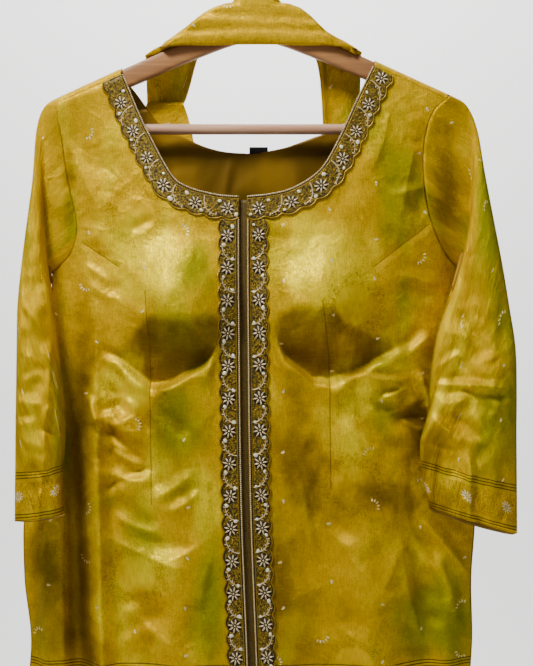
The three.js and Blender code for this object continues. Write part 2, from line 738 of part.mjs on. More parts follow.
// The wood under the shoulders, rounded on its top and thinner at its tips.
function armsWood() {
  const sections = 34;
  const corners = 14;
  const rings = [];
  for (let k = 0; k <= sections; k += 1) {
    const x = mix(-ARM_SPAN, ARM_SPAN, k / sections);
    const height = read(ARM_WOOD, 'across', Math.abs(x), 'height');
    const top = ridge(x) - ARM_DROP;
    const tip = k === 0 || k === sections ? 0.55 : 1;
    const ring = [];
    for (let j = 0; j < corners; j += 1) {
      const angle = (2 * Math.PI * j) / corners;
      const y = (ARM_THICKNESS / 2) * tip * Math.sign(Math.cos(angle)) * Math.abs(Math.cos(angle)) ** 0.7;
      const up = Math.sign(Math.sin(angle)) * Math.abs(Math.sin(angle)) ** 0.8;
      ring.push(point(x, y, top - (height / 2) * (1 - up * tip)));
    }
    rings.push(ring);
  }
  return loft(rings);
}

function dowel(radius, span, sides) {
  const circle = (x) => Array.from({ length: sides }, (unused, k) => {
    const angle = (2 * Math.PI * (k + 0.5)) / sides;
    return point(x, radius * Math.cos(angle), BAR_HEIGHT + radius * Math.sin(angle));
  });
  return loft([circle(-span), circle(span)]);
}

// The wire of the hook: a straight foot, a bend, and an open round that hangs over the rail.
function hookWire(radius, bottom) {
  const foot = HOOK_PATH.map((row) => new THREE.Vector2(row.across, Math.max(row.height, bottom)));
  const centre = -HOOK_RADIUS;
  const middle = HOOK_RADIUS + ROD_RADIUS;
  const turns = 14;
  for (let k = 0; k <= turns; k += 1) {
    const angle = mix(-Math.PI / 5, Math.PI * 1.12, k / turns);
    foot.push(new THREE.Vector2(middle * Math.cos(angle), centre + middle * Math.sin(angle)));
  }
  const path = new THREE.SplineCurve(foot);
  const steps = 34;
  const sides = 8;
  const rings = [];
  for (let k = 0; k <= steps; k += 1) {
    const place = path.getPoint(k / steps);
    const along = path.getTangent(k / steps);
    const ring = [];
    for (let j = 0; j < sides; j += 1) {
      const angle = (2 * Math.PI * j) / sides;
      const out = radius * Math.cos(angle);
      ring.push(point(place.x + along.y * out, radius * Math.sin(angle), place.y - along.x * out));
    }
    rings.push(ring);
  }
  return loft(rings);
}

function socketForHook() {
  const sides = 8;
  const ring = (z) => Array.from({ length: sides }, (unused, k) => {
    const angle = (2 * Math.PI * k) / sides;
    return point((ROD_RADIUS + SEAM) * Math.cos(angle), (ROD_RADIUS + SEAM) * Math.sin(angle), z);
  });
  return loft([ring(HOOK_FOOT - SEAM), ring(SOCKET_TOP)]);
}

// ---------- materials ----------
const paint = (color, roughness, metalness = 0) => new THREE.MeshStandardMaterial({ color, roughness, metalness });
const SILK = paint(0xc09a08, 0.42);
const LINING = paint(0x7d6606, 0.5);
const TRIM = paint(0x6b5222, 0.55, 0.3);
const UNDERLAP = paint(0x8a6c10, 0.5);
const LABEL = paint(0x101010, 0.7);
const WOOD = paint(0x8b653e, 0.5);
const STEEL = paint(0xb9bcc0, 0.25, 1);

// ---------- assembly ----------
const suit = new THREE.Group();

function put(name, geometry, material) {
  const mesh = new THREE.Mesh(geometry, material);
  mesh.name = name;
  suit.add(mesh);
}

const frontRows = {};
for (const side of [-1, 1]) {
  frontRows[side] = halfPanel(-1, side, FRONT_NECK_ROWS, FRONT_SKIRT_ROWS, FRONT_COLUMNS);
}
const frontCloth = {
  '-1': new Cloth().add(frontRows[-1], true),
  1: new Cloth().add(frontRows[1], false),
};
put('kurta_front_left', frontCloth[-1].wall(WALL), SILK);
put('kurta_front_right', frontCloth[1].wall(WALL), SILK);

const grounds = {};
for (const side of [-1, 1]) {
  const cloth = frontCloth[side];
  grounds[side] = new Ground(cloth.quads.map((quad) => quad.map((k) => cloth.points[k])));
}

// The back is one cloth: its two halves share the centre line below the neck.
const backCloth = new Cloth();
for (const side of [-1, 1]) {
  const below = halfPanel(1, side, BACK_NECK_ROWS, BACK_SKIRT_ROWS, BACK_COLUMNS);
  const rolled = shoulderRows(side, BACK_COLUMNS);
  backCloth.add([...rolled, ...below], side > 0);
}
for (const place of backCloth.points) {
  const seam = place.y < 0 && ridge(place.x) - place.z > SEAM_DROP - 1;
  if (seam) place.z += SEAM;
}
put('kurta_back', backCloth.wall(WALL), SILK);

put('sleeve_left', sleeve(-1, SLEEVE_LEFT), SILK);
put('sleeve_right', sleeve(1, SLEEVE_RIGHT), SILK);

put('trim_neck_left', neckTrim(-1, grounds[-1]), TRIM);
put('trim_neck_right', neckTrim(1, grounds[1]), TRIM);
put('trim_placket_left', placketTrim(-1, grounds[-1]), TRIM);
put('trim_placket_right', placketTrim(1, grounds[1]), TRIM);

// The strip under the placket closes the gap between the two fronts from behind.
const underlapRows = [];
const underlapSteps = 20;
for (let k = 0; k <= underlapSteps; k += 1) {
  const z = mix(UNDERLAP_TOP, HEM_HEIGHT + 1, k / underlapSteps);
  const middle = placketLine(z);
  const y = Math.max(...[-1, 0, 1].map((step) => bodyDepth(-1, middle + step * UNDERLAP_HALF_WIDTH, z))) + WALL + 1;
  const row = [-1, 0, 1].map((step) => {
    const place = point(middle + step * UNDERLAP_HALF_WIDTH, y, z);
    place.inward = point(0, 1, 0);
    return place;
  });
  underlapRows.push(row);
}
put('placket_underlap', new Cloth().add(underlapRows, false).wall(1), UNDERLAP);

// The lining of the back, where it shows inside the neck.
const liningCloth = new Cloth();
for (const side of [-1, 1]) {
  const half = halfPanel(1, side, BACK_NECK_ROWS, 1, BACK_COLUMNS).slice(4, -1);
  const inside = half.map((row) => row.slice(0, 6).map((place) => {
    const moved = point(place.x, place.y - WALL - 1.7, place.z - 1.5);
    moved.inward = point(0, 1, 0);
    return moved;
  }));
  liningCloth.add(inside, side < 0);
}
put('kurta_back_lining', liningCloth.wall(0.9), LINING);

// The neck label stands on the back edge of the neck.
const labelRows = [-210.3, -214.8].map((z) => [-8, 12].map((x) => {
  const place = point(x, LABEL_DEPTH, z);
  place.inward = point(0, 1, 0);
  return place;
}));
put('neck_label', new Cloth().add(labelRows, false).wall(1), LABEL);

put('sharara_upper_legs', loft(UPPER_LEGS.map(legsSection)), SILK);
put('sharara_flares', gathered(SHARARA_FLARES, FLARE_PLEATS, 1), SILK);
put('sharara_waistband', gathered(SHARARA_WAIST, WAIST_PLEATS, 1), SILK);

const bar = dowel(BAR_RADIUS, BAR_SPAN, 12);
const arms = toManifold(armsWood())
  .subtract(toManifold(dowel(BAR_RADIUS + SEAM, BAR_SPAN + SEAM, 12)))
  .subtract(toManifold(socketForHook()));
put('hanger_arms', fromManifold(arms), WOOD);
put('hanger_bar', bar, WOOD);
put('hanger_hook', hookWire(ROD_RADIUS, HOOK_FOOT), STEEL);

export default suit;
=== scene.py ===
import math

import bmesh
import bpy
import numpy as np
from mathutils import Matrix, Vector


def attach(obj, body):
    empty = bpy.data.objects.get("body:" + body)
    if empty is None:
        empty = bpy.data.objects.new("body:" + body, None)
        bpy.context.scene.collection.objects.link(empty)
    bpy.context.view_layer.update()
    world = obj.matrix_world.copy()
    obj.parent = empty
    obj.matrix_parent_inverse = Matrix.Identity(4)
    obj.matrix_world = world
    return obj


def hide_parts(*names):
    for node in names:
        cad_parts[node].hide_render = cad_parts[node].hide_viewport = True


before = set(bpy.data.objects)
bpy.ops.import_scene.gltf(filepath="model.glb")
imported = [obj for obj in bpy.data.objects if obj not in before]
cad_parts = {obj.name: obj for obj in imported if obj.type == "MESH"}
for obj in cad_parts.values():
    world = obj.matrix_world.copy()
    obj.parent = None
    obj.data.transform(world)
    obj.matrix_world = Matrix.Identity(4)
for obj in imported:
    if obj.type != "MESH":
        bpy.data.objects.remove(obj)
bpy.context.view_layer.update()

bl_info = {
    "name": "Sharara suit on a hanger",
    "version": (1, 0, 0),
    "blender": (4, 2, 0),
    "location": "View3D > Sidebar > Suit",
    "description": "Sews the kurta, its trims and the folded sharara onto the hanger",
    "category": "Object",
}

# The suit hangs in front of the viewer: +Z is up, the front faces -Y and the origin is the inside
# top of the hook. The tables are in millimetres, and MM takes them to metres.
MM = 0.001

# ---------- sizes shared with the pattern ----------
SEAM = 0.35
HEM = -810.0
UNDERARM = -345.0
SHOULDER_RADIUS = 16.0
SEAM_DROP = 7.5
SIDE_DEPTH = 12.0
TOP_BLEND = 62.0
PLACKET_HALF_GAP = 4.0
BORDER_HEIGHT = 0.051
TRIM_WIDTH = {"neck": 22.0, "placket": 18.0}
SCALLOP_PITCH = 17.0
SCALLOP_RISE = 3.2
REPEAT = 34.0
TRIM_ROW = 1.7
STITCH_TOP = 0.95
EDGE_BEAD_STEP = 2.1
FILL_STEP = 0.62
FLOWER_SIZE = 6.9
FLOWER_CLEAR = 7.4
CREASE_GAIN = 1.8

# height, left, right, front, back
BODY = np.array([
    [-120, -224, 222, 18, 18],
    [-270, -222, 221, 34, 20],
    [-345, -220, 221, 40, 22],
    [-420, -226, 222, 42, 22],
    [-500, -236, 226, 42, 22],
    [-600, -250, 235, 40, 22],
    [-676, -250, 231, 38, 22],
    [-742, -243, 232, 36, 24],
    [-810, -249, 227, 36, 26],
], float)
# share of the way down, right, left, behind
ARMHOLE = np.array([
    [0, 205, 209, 207],
    [0.01, 204, 209.5, 207],
    [0.04, 202, 210, 206],
    [0.12, 190, 211, 203],
    [0.2, 183, 209, 200],
    [0.3, 178.5, 206.5, 197],
    [0.4, 177, 204, 195],
    [0.5, 177.5, 201, 194],
    [0.6, 180, 197, 194],
    [0.7, 184, 193, 195],
    [0.8, 191, 192, 198],
    [0.9, 201, 198, 205],
    [0.96, 211, 208, 213],
    [1, 221, 220, 221],
], float)
# across, height along each neckline, from the shoulder seam to the centre
NECK = {
    (-1, 1): [[126, 0], [119, -142], [104.5, -172], [88, -208], [68.5, -240.5], [41.5, -259.5],
              [17, -267], [-10, -270]],
    (-1, -1): [[-144, 0], [-137, -153], [-124.4, -183], [-114, -204], [-91, -245.5], [-73, -259.5],
               [-42.5, -268], [-18, -270]],
    (1, 1): [[126, 0], [118, -150], [104, -174], [88, -190], [57, -202], [32, -211], [8, -216],
             [-10, -217.5]],
    (1, -1): [[-144, 0], [-131, -152], [-114, -175], [-101, -190], [-75, -202], [-56, -210.5],
              [-33, -216], [-10, -217.5]],
}
# height, across
PLACKET = np.array([[-270, -14], [-377, -13.6], [-587, -11], [-760, -4.7], [-810, -3.5]])
# across, height, width, above, below, rise
CUPS = [(-80, -388, 79, 100, 62, 30), (68, -388, 80, 100, 60, 30)]

# The hollow under each cup: across, height of its upper line, height of the fold that closes it
UNDER_CUPS = [
    np.array([
        [-170, -420, -426], [-152, -424, -434], [-140, -424, -441], [-124, -404, -454], [-111, -391, -464],
        [-92, -391, -463], [-75, -392, -453], [-56, -392, -441], [-38, -391, -422], [-26, -391, -408],
    ], float),
    np.array([
        [12, -391, -396], [20, -389, -414], [30, -386, -433], [45, -381, -446], [59, -378, -458],
        [77, -380, -459], [108, -402, -448], [136, -415, -433], [152, -418, -424], [170, -414, -417],
    ], float),
]
UNDER_DEPTH = 13.0
UNDER_FADE = 20
SHELF = 6.5
SHELF_END = 14
# Where the silk is crushed: across, height, wide, high, strength
CRUSHED = [
    (-152, -505, 34, 62, 1.0), (-120, -560, 40, 34, 0.6), (146, -478, 40, 26, 1.0), (172, -520, 26, 50, 0.6),
    (-128, -690, 62, 60, 0.45), (190, -690, 36, 66, 0.7), (112, -640, 60, 46, 0.4), (-40, -620, 26, 80, 0.4),
    (-158, -262, 34, 50, 0.35), (-60, -500, 44, 30, 0.45), (168, -290, 30, 44, 0.55), (60, -740, 60, 30, 0.4),
]
CRUSH_RISE = 12.0
CRUSH_EVERYWHERE = 0.2
# size, start and share of the two layers of flat facets in crushed silk
FACETS = ((25.0, 1.3, 0.66), (11.0, 4.1, 0.34))
LATTICE_CELLS = 64
LATTICE = np.random.default_rng(8).uniform(-1, 1, (LATTICE_CELLS, LATTICE_CELLS))

# The largest folds: x0, z0, x1, z1, spread, rise
FRONT_FOLDS = [
    (-182, -400, -158, -810, 13, 17),
    (-204, -430, -188, -810, 12, -8),
    (-224, -620, -222, -830, 13, 9),
    (-124, -560, -116, -830, 24, -7),
    (-84, -600, -76, -830, 22, 7),
    (60, -560, 76, -830, 24, -6),
    (112, -560, 130, -830, 24, 9),
    (168, -560, 178, -830, 17, -8),
    (202, -650, 206, -830, 13, 8),
]
BACK_FOLDS = [
    (178, -480, 190, -830, 18, 9),
    (140, -430, 146, -830, 18, -7),
    (96, -560, 104, -830, 20, 8),
    (40, -700, 44, -830, 20, -7),
    (-204, -480, -214, -830, 13, 8),
]
# Creases: x0, z0, x1, z1, bow, spread, rise
FRONT_CREASES = [
    (-170, -372, -158, -830, 0, 8, 4.5),
    (-188, -390, -184, -830, 0, 17, -9),
    (-206, -560, -202, -830, 2, 8, 2.4),
    (-228, -590, -226, -830, -2, 7, 2),
    (161, -433, 184, -412, 0, 6, 5),
    (-176, -476, -151, -532, 3, 4.5, 4.5),
    (-163, -468, -145, -507, 0, 4, 3.4),
    (-171, -500, -140, -492, 2, 4, 3),
    (-169, -516, -131, -537, 2, 4.5, 3.2),
    (-152, -534, -118, -553, 0, 4.5, 3.4),
    (-150, -508, -128, -498, 0, 4, 2.6),
    (-140, -476, -120, -520, -3, 5, 3),
    (-100, -486, -70, -520, 3, 9, -3),
    (172, -452, 186, -500, -2, 5, 4),
    (116, -456, 158, -462, 2, 4, 3),
    (150, -500, 186, -516, 2, 5, 3.4),
    (-96, -600, -58, -574, 3, 6, 3.4),
    (-150, -600, -100, -622, 4, 7, 3.4),
    (150, -640, 120, -700, -4, 7, 3.4),
    (60, -600, 104, -640, 3, 8, 3),
    (-44, -640, -60, -700, 3, 8, 3),
    (190, -640, 214, -720, -3, 6, 3),
    (110, -740, 190, -770, 5, 8, 3.4),
    (-130, -760, -60, -790, 4, 9, 3),
    (-170, -553, -111, -566, 4, 6, 3.5),
    (-169, -581, -108, -553, -3, 6, -3),
    (-166, -618, -70, -660, 5, 11, 4),
    (-54, -555, -47, -612, 0, 9, 3),
    (-61, -689, -77, -748, 0, 10, -4),
    (-101, -650, -54, -629, 4, 9, 2.4),
    (29, -465, 52, -520, -3, 10, -4),
    (52, -520, 90, -564, 3, 9, -4),
    (90, -564, 170, -603, 3, 10, -4),
    (121, -474, 170, -511, 4, 10, -4.5),
    (125, -484, 161, -467, 0, 4, 2.8),
    (134, -497, 172, -482, 0, 4, 2.4),
    (88, -503, 135, -541, 0, 18, 4),
    (142, -524, 170, -555, 0, 8, -3),
    (159, -569, 171, -603, 0, 6, -3),
    (176, -610, 229, -675, -3, 5, 4.5),
    (165, -618, 216, -684, -3, 6, -3),
    (152, -626, 178, -742, 4, 7, 3.4),
    (95, -642, 143, -684, 3, 7, 3.4),
    (46, -555, 65, -650, 3, 10, 3),
    (-135, -304, -107, -291, 0, 5, -2),
    (-183, -337, -152, -360, 0, 6, 2.2),
    (-179, -358, -143, -377, 2, 7, 2),
    (151, -348, 193, -360, 0, 6, 2.2),
    (155, -362, 188, -377, 0, 6, -2),
    (152, -181, 199, -166, 0, 5, -1.8),
    (155, -206, 176, -212, 0, 5, -2),
    (142, -264, 178, -255, 2, 5, 1.8),
    (-164, -177, -112, -251, 6, 9, 1.4),
    (140, -167, 121, -240, -5, 9, 1.4),
    (-196, -219, -169, -277, 0, 9, 1.8),
    (166, -219, 153, -288, 0, 9, 1.8),
    (-143, -692, -80, -744, 4, 10, 2.6),
    (-154, -734, -91, -702, -3, 9, -2.6),
    (77, -713, 151, -750, 4, 12, 2.6),
    (-112, -587, -64, -555, 3, 7, 2.6),
]
BACK_CREASES = [
    (-190, -360, -120, -392, 4, 7, 2.6),
    (196, -366, 120, -402, 4, 7, 2.6),
    (-206, -395, -150, -440, 3, 7, 2.2),
    (204, -402, 150, -446, -3, 8, -2.4),
    (-120, -452, -30, -476, 6, 9, 2.4),
    (22, -470, 108, -446, 6, 9, 2.6),
    (-90, -486, -8, -494, -4, 8, -2),
    (30, -500, 96, -482, 4, 8, 2),
    (-180, -520, -140, -600, 4, 9, 3),
    (170, -520, 132, -610, -4, 9, 2.6),
    (-60, -560, -30, -690, 5, 13, 3),
    (70, -590, 96, -720, 4, 12, -3),
    (-130, -610, -100, -760, -4, 12, -3),
    (10, -620, 26, -770, 4, 13, 2.6),
    (-168, -230, -120, -262, 3, 9, 1.6),
    (160, -226, 118, -264, -3, 9, 1.6),
    (-20, -262, 30, -280, 3, 12, 1.4),
]
SLEEVE_CREASES = {
    1: [
        (182, -465, 272, -471, -2, 4, 4.2),
        (182, -471, 272, -480, -2, 5, -2.5),
        (185, -450, 212, -430, 0, 4, 2.6),
        (191, -486, 224, -474, 2, 4, 2.6),
        (180, -497, 203, -518, 0, 4, 3),
        (203, -518, 241, -524, 2, 5, 2.6),
        (199, -495, 228, -511, 0, 5, -2.6),
        (176, -524, 214, -532, 2, 4, -2),
        (220, -524, 220, -620, 0, 5, 3),
        (230, -408, 256, -432, 0, 6, 1.8),
        (216, -377, 241, -408, 0, 7, 1.8),
        (235, -440, 268, -424, 2, 5, 2.2),
        (203, -366, 209, -440, 0, 6, -2.2),
        (243, -482, 270, -507, 0, 5, 2.2),
    ],
    -1: [
        (-213, -417, -213, -484, 0, 4, 3.4),
        (-213, -484, -218, -511, 0, 4, 3.4),
        (-218, -511, -216, -534, 0, 4, 3),
        (-216, -534, -221, -568, 0, 4, 3),
        (-221, -568, -223, -610, 0, 4, 2.6),
        (-250, -481, -221, -484, 0, 4, 2.4),
        (-250, -503, -225, -501, 2, 4, 2.4),
        (-248, -429, -217, -446, 0, 5, 1.8),
        (-246, -377, -221, -408, 0, 6, 1.8),
        (-250, -524, -221, -537, 0, 5, -2),
        (-244, -461, -219, -453, 0, 4, 1.8),
    ],
}
# Where the shot silk turns green, and where shade is painted into its colour (brown) and highlights are
# painted onto it (light): x, z, half width, half height, strength
TONES = {
    "green": [
        (-59, -337, 27, 32, 0.8), (-75, -417, 42, 32, 0.75), (-78, -508, 36, 42, 0.8),
        (-47, -676, 21, 79, 0.85), (-70, -566, 23, 27, 0.6), (193, -718, 46, 48, 0.85),
        (159, -272, 21, 89, 0.75), (247, -303, 21, 116, 0.8), (243, -503, 36, 52, 0.55),
        (224, -477, 25, 21, 0.6), (161, -377, 19, 42, 0.7), (-206, -513, 9, 116, 0.9),
        (-154, -587, 27, 21, 0.4), (-143, -629, 32, 32, 0.45), (93, -330, 21, 42, 0.35),
        (134, -503, 15, 21, 0.5), (-196, -272, 9, 63, 0.5), (77, -681, 23, 32, 0.3),
    ],
    # brown: painted shade, darkening the cloth under the cups, beside the deep folds and in the hollows
    "brown": [
        (172, -513, 21, 74, 0.8),
        (188, -592, 32, 36, 0.7), (46, -547, 27, 65, 0.7), (20, -650, 21, 116, 0.6),
        (114, -587, 63, 27, 0.7), (-181, -482, 14, 116, 0.8), (-181, -650, 15, 136, 0.6),
        (-227, -702, 25, 63, 0.75), (-238, -650, 17, 42, 0.5), (201, -261, 15, 74, 0.9),
        (-200, -240, 8, 74, 0.6), (-89, -508, 21, 27, 0.45), (93, -713, 27, 36, 0.45),
        (46, -744, 27, 21, 0.5), (-7, -377, 8, 63, 0.4), (140, -314, 21, 25, 0.35),
        (151, -424, 23, 17, 0.5), (-112, -734, 42, 13, 0.35), (100, -503, 15, 42, 0.3),
    ],
    # light: painted highlights where the cloth faces the light
    "light": [
        (51, -337, 50, 42, 0.95), (-112, -333, 46, 38, 0.85), (111, -484, 34, 25, 0.9),
        (-137, -465, 25, 27, 0.9), (-112, -650, 38, 36, 0.7), (-145, -692, 23, 48, 0.6),
        (-112, -555, 23, 25, 0.6), (-74, -445, 29, 10, 0.8), (77, -459, 19, 8, 0.7),
        (119, -446, 36, 8, 0.8), (167, -650, 19, 27, 0.75), (104, -524, 25, 21, 0.5),
        (201, -692, 10, 32, 0.5), (-54, -587, 15, 52, 0.7), (-59, -734, 17, 25, 0.5),
        (9, -482, 17, 63, 0.35), (216, -482, 32, 21, 0.6), (-238, -503, 17, 63, 0.5),
        (-227, -377, 17, 63, 0.4), (214, -419, 23, 63, 0.4), (-154, -219, 52, 42, 0.3),
        (145, -177, 42, 21, 0.4), (193, -566, 19, 15, 0.6), (-238, -576, 17, 15, 0.4),
    ],
}
# Darts and seams pressed into the cloth: x0, z0, x1, z1, spread, depth
DARTS = [
    (-186, -315, -144, -343, 3.4, 1.3),
    (184, -296, 122, -343, 3.4, 1.3),
    (-116, -368, -112, -419, 3.4, 1.2),
    (-112, -419, -110, -590, 3.4, 1.1),
    (68, -376, 76, -436, 3.4, 1.2),
    (76, -436, 78, -576, 3.4, 1.1),
]

# outX, outZ, outY, inX, inZ, inY, front, back for each ring of a sleeve
SLEEVES = {
    1: np.array([
        [224, -168, 0, 225, -350, 7, 6, 13],
        [235.5, -194, -1, 220, -358, -3, 8, 13],
        [243, -240, -4, 207, -371, -12, 16, 14],
        [251, -286, -8, 199, -389, -19, 20, 15],
        [260, -338, -14, 191, -413, -26, 21, 16],
        [267, -385, -20, 185, -440, -32, 20, 17],
        [272.5, -428, -26, 182, -466, -36, 19, 17],
        [273, -475, -30, 179, -496, -38, 19, 17],
        [272.5, -520, -32, 171, -526, -40, 19, 17],
        [272.5, -568, -34, 173, -558, -40, 20, 18],
        [272.5, -621, -35, 181, -594, -40, 21, 19],
    ], float),
    -1: np.array([
        [-226, -169, 0, -224, -350, 7, 6, 13],
        [-235, -194, -1, -220, -358, -3, 9, 14],
        [-238.5, -246, -4, -218, -371, -12, 16, 16],
        [-242.5, -284, -8, -215, -388, -18, 22, 18],
        [-247.5, -330, -13, -212, -409, -24, 26, 20],
        [-251.5, -378, -19, -208, -433, -30, 28, 22],
        [-251.5, -424, -25, -204, -457, -35, 30, 24],
        [-251.5, -468, -30, -200.5, -487, -39, 30, 25],
        [-251.5, -514, -33, -200, -523, -42, 30, 25],
        [-251.5, -560, -36, -202, -560, -44, 30, 25],
        [-251.5, -607, -38, -200, -599, -45, 31, 26],
    ], float),
}
CUFF_BACK_DROP = 7.0
LINING_INSET = 2.8
LINING_DROP = 1.2
UNDERLAP_HALF = 11
UNDERLAP_INSET = 2.3

# across, front, top, wrap, foot, lip for each section of the folded legs
LEGS = np.array([
    [-119, -130, -200, 1, -165.5, 0],
    [-110, -125, -200, 1, -165.5, 0],
    [-103, -120, -200, 1, -165.5, 0],
    [-99, -109, -101, 1, -165.5, 0.8],
    [-92, -107, -97, 1, -165.5, 1],
    [-84, -106.5, -91, 1, -165.5, 1],
    [-78.5, -106, -87, 1, -163, 1],
    [-72, -106, -82, 1, -142, 1],
    [-65, -106, -76, 1, -116, 1],
    [-57, -106, -70, 1, -102, 1],
    [-46, -106, -62, 0.8, -92, 1],
    [-32, -105.5, -53, 0.4, -84, 1],
    [-18, -105, -47, 0, -80, 1],
    [0, -105, -45, 0, -80, 1],
    [18, -105, -47, 0, -80, 1],
    [32, -105.5, -53, 0.4, -84, 1],
    [46, -106, -62, 0.8, -94, 1],
    [57, -106, -72, 1, -104, 1],
    [65, -106, -80, 1, -116, 1],
    [71, -106, -86, 1, -150, 1],
    [74, -106, -89, 1, -262, 1],
    [84, -107, -95, 1, -264, 1],
    [94, -108, -100, 1, -264, 1],
    [103, -111, -106, 1, -264, 1],
    [108, -118, -200, 1, -264, 0.3],
    [112, -122, -200, 1, -262, 0],
], float)
LEGS_HALF = 3.0
LEGS_CUT_LENGTH = 0.235
LEGS_FRONT = -10.4
LEGS_BEHIND = 27.0
LEGS_SETBACK = 50.0
LEGS_BEND = 4.0
# height, left, right, depth, wave
FLARES = np.array([
    [-162, -118, -80, 6, 1.2],
    [-176, -124, -75, 12, 3],
    [-196, -131, -70, 17, 4],
    [-240, -140, -62, 20, 5],
    [-300, -149, -55, 22, 6],
    [-380, -157, -49, 24, 6.5],
    [-460, -163, -44, 25, 7],
    [-540, -168, -40, 26, 7.5],
    [-620, -171, -36, 27, 8],
    [-668, -172, -34, 27, 8],
], float)
WAIST = np.array([
    [-262, 75, 111, 6, 1.0],
    [-271, 74, 114, 9, 1.6],
    [-286, 74, 116, 9.5, 1.8],
    [-302, 72, 118, 9, 1.6],
    [-307, 71, 119, 8, 1.2],
], float)
# across, height of the wood
ARM_WOOD = np.array([
    [0, 27], [60, 24], [120, 22.5], [160, 22], [176, 25], [187, 44], [196, 51], [205, 46], [212, 30],
], float)
ARM_DROP = 1.6 / math.cos(math.atan(0.46)) + SEAM
LAYER_GAP = 1.0
NECK_BACK = -225
BAR_HEIGHT = -194.0
BAR_SPAN = 192.0
BAR_RADIUS = 5.5
ROD_RADIUS = 1.9
HOOK_RADIUS = 19.0


# ---------- curves and surfaces ----------
def clip01(t):
    return np.clip(t, 0.0, 1.0)


def mix(a, b, t):
    return a + (b - a) * t


def ease(t):
    t = clip01(t)
    return t * t * (3 - 2 * t)


def smooth_rows(keys, values, at):
    """Values at places between rows, along a smooth curve through the rows."""
    keys, values, at = np.asarray(keys, float), np.asarray(values, float), np.asarray(at, float)
    if keys[1] < keys[0]:
        keys, at = -keys, -at
    k = np.searchsorted(keys[1:-1], at, side="left")
    last = len(keys) - 1
    before, after = np.maximum(k - 1, 0), np.minimum(k + 2, last)
    span = keys[k + 1] - keys[k]
    t = clip01((at - keys[k]) / span)
    extra = (1,) * (values.ndim - 1)
    span, t = span.reshape(span.shape + extra), t.reshape(t.shape + extra)
    run_in = (keys[k + 1] - keys[before]).reshape(span.shape)
    run_out = (keys[after] - keys[k]).reshape(span.shape)
    slope_in = (values[k + 1] - values[before]) / run_in * span
    slope_out = (values[after] - values[k]) / run_out * span
    return ((2 * t**3 - 3 * t**2 + 1) * values[k] + (t**3 - 2 * t**2 + t) * slope_in
            + (3 * t**2 - 2 * t**3) * values[k + 1] + (t**3 - t**2) * slope_out)


def column(table, at, k):
    return smooth_rows(table[:, 0], table[:, k], at)


def ridge(x):
    return -62 - 0.46 * np.hypot(x, 18.0)


def placket(z):
    return column(PLACKET, z, 1)


def beside_line(x, z, x0, z0, x1, z1):
    """A line's length, how far along it a place lies times that length, and how far off it."""
    length = math.hypot(x1 - x0, z1 - z0)
    run = (x - x0) * (x1 - x0) + (z - z0) * (z1 - z0)
    off = ((x - x0) * (z1 - z0) - (z - z0) * (x1 - x0)) / length
    return length, run, off


def main_folds(folds, x, z):
    total = np.zeros_like(x)
    for x0, z0, x1, z1, spread, rise in folds:
        length, run, off = beside_line(x, z, x0, z0, x1, z1)
        along = run / length
        fade = ease(along / (0.35 * length)) * ease((length - along) / (0.2 * length))
        total += rise * fade * np.exp(-((off / spread) ** 2))
    return total


def creases(table, x, z):
    """Soft ridges, each with a shallow trough along one side, and troughs where rise is under 0."""
    total = np.zeros_like(x)
    for x0, z0, x1, z1, bow, spread, rise in table:
        length, run, off = beside_line(x, z, x0, z0, x1, z1)
        t = run / length**2
        off = (off - bow * 4 * clip01(t) * (1 - clip01(t))) / spread
        fade = ease((t + 0.08) / 0.34) * ease((1.08 - t) / 0.34)
        if rise > 0:
            steep = np.exp(1.7 * np.minimum(off, 0))
            form = np.where(off < 0, steep, np.exp(-0.75 * np.maximum(off, 0) ** 1.1))
            form = form - 0.3 * np.exp(-((off + 1.8) ** 2))
        else:
            form = 0.6 * np.exp(-(off**2)) - 0.25 * np.exp(-((off - 1.6) ** 2))
        total += CREASE_GAIN * rise * fade * form
    return total


def facets(x, z, size, start):
    """Flat facets that meet in sharp creases; a bent lattice of heights gives them."""
    across = (x + 0.3 * size * np.sin(z / size * 1.3 + start)) / size
    up = (z + 0.3 * size * np.sin(x / size * 1.1 - start)) / size
    p, q = across + 0.37 * up + start * 5, up + 0.37 * across + start * 3
    i, j = np.floor(p).astype(int), np.floor(q).astype(int)
    a, b = p - i, q - j

    def high(di, dj):
        return LATTICE[(i + di) % LATTICE_CELLS, (j + dj) % LATTICE_CELLS]

    first = (1 - a) * high(0, 0) + (a - b) * high(1, 0) + b * high(1, 1)
    second = (1 - b) * high(0, 0) + (b - a) * high(0, 1) + a * high(1, 1)
    return np.where(a > b, first, second)


def crushed(x, z, places, least=CRUSH_EVERYWHERE):
    """Crushed silk: facets everywhere, and deeper ones round the places given."""
    share = np.full_like(x, least)
    for x0, z0, wide, high, strength in places:
        share = np.maximum(share, strength * np.exp(-(((x - x0) / wide) ** 2) - ((z - z0) / high) ** 2))
    return CRUSH_RISE * share * sum(part * facets(x, z, size, start) for size, start, part in FACETS)


def under_cups(x, z):
    """The hollows under the cups and the folds that close them, as depth, and the share of each hollow that
    is darkened with painted shade.
    """
    total, share = np.zeros_like(x), np.zeros_like(x)
    for rows in UNDER_CUPS:
        top, low = (np.interp(x, rows[:, 0], rows[:, k]) for k in (1, 2))
        inside = ease((x - rows[0, 0]) / UNDER_FADE) * ease((rows[-1, 0] - x) / UNDER_FADE)
        down = clip01((top - z) / np.maximum(top - low, 1))
        below = low - z
        roll = 13 + 3 * np.sin(x / 11.0) + 2 * np.sin(x / 4.3 + 1)
        hollow = np.minimum(UNDER_DEPTH, 0.25 * (top - low)) * down**1.2 * (1 - ease(below / 8))
        shelf = SHELF * (1 + 0.35 * np.sin(x / 7.0 + 2)) * ease((below + 2) / roll)
        shelf = shelf * np.exp(-np.maximum(below - roll, 0) / SHELF_END)
        total += inside * (shelf - hollow)
        share = np.maximum(share, inside * ease((top - z + 5) / 17) * (1 - ease((below + 1) / 3)))
    return total, share


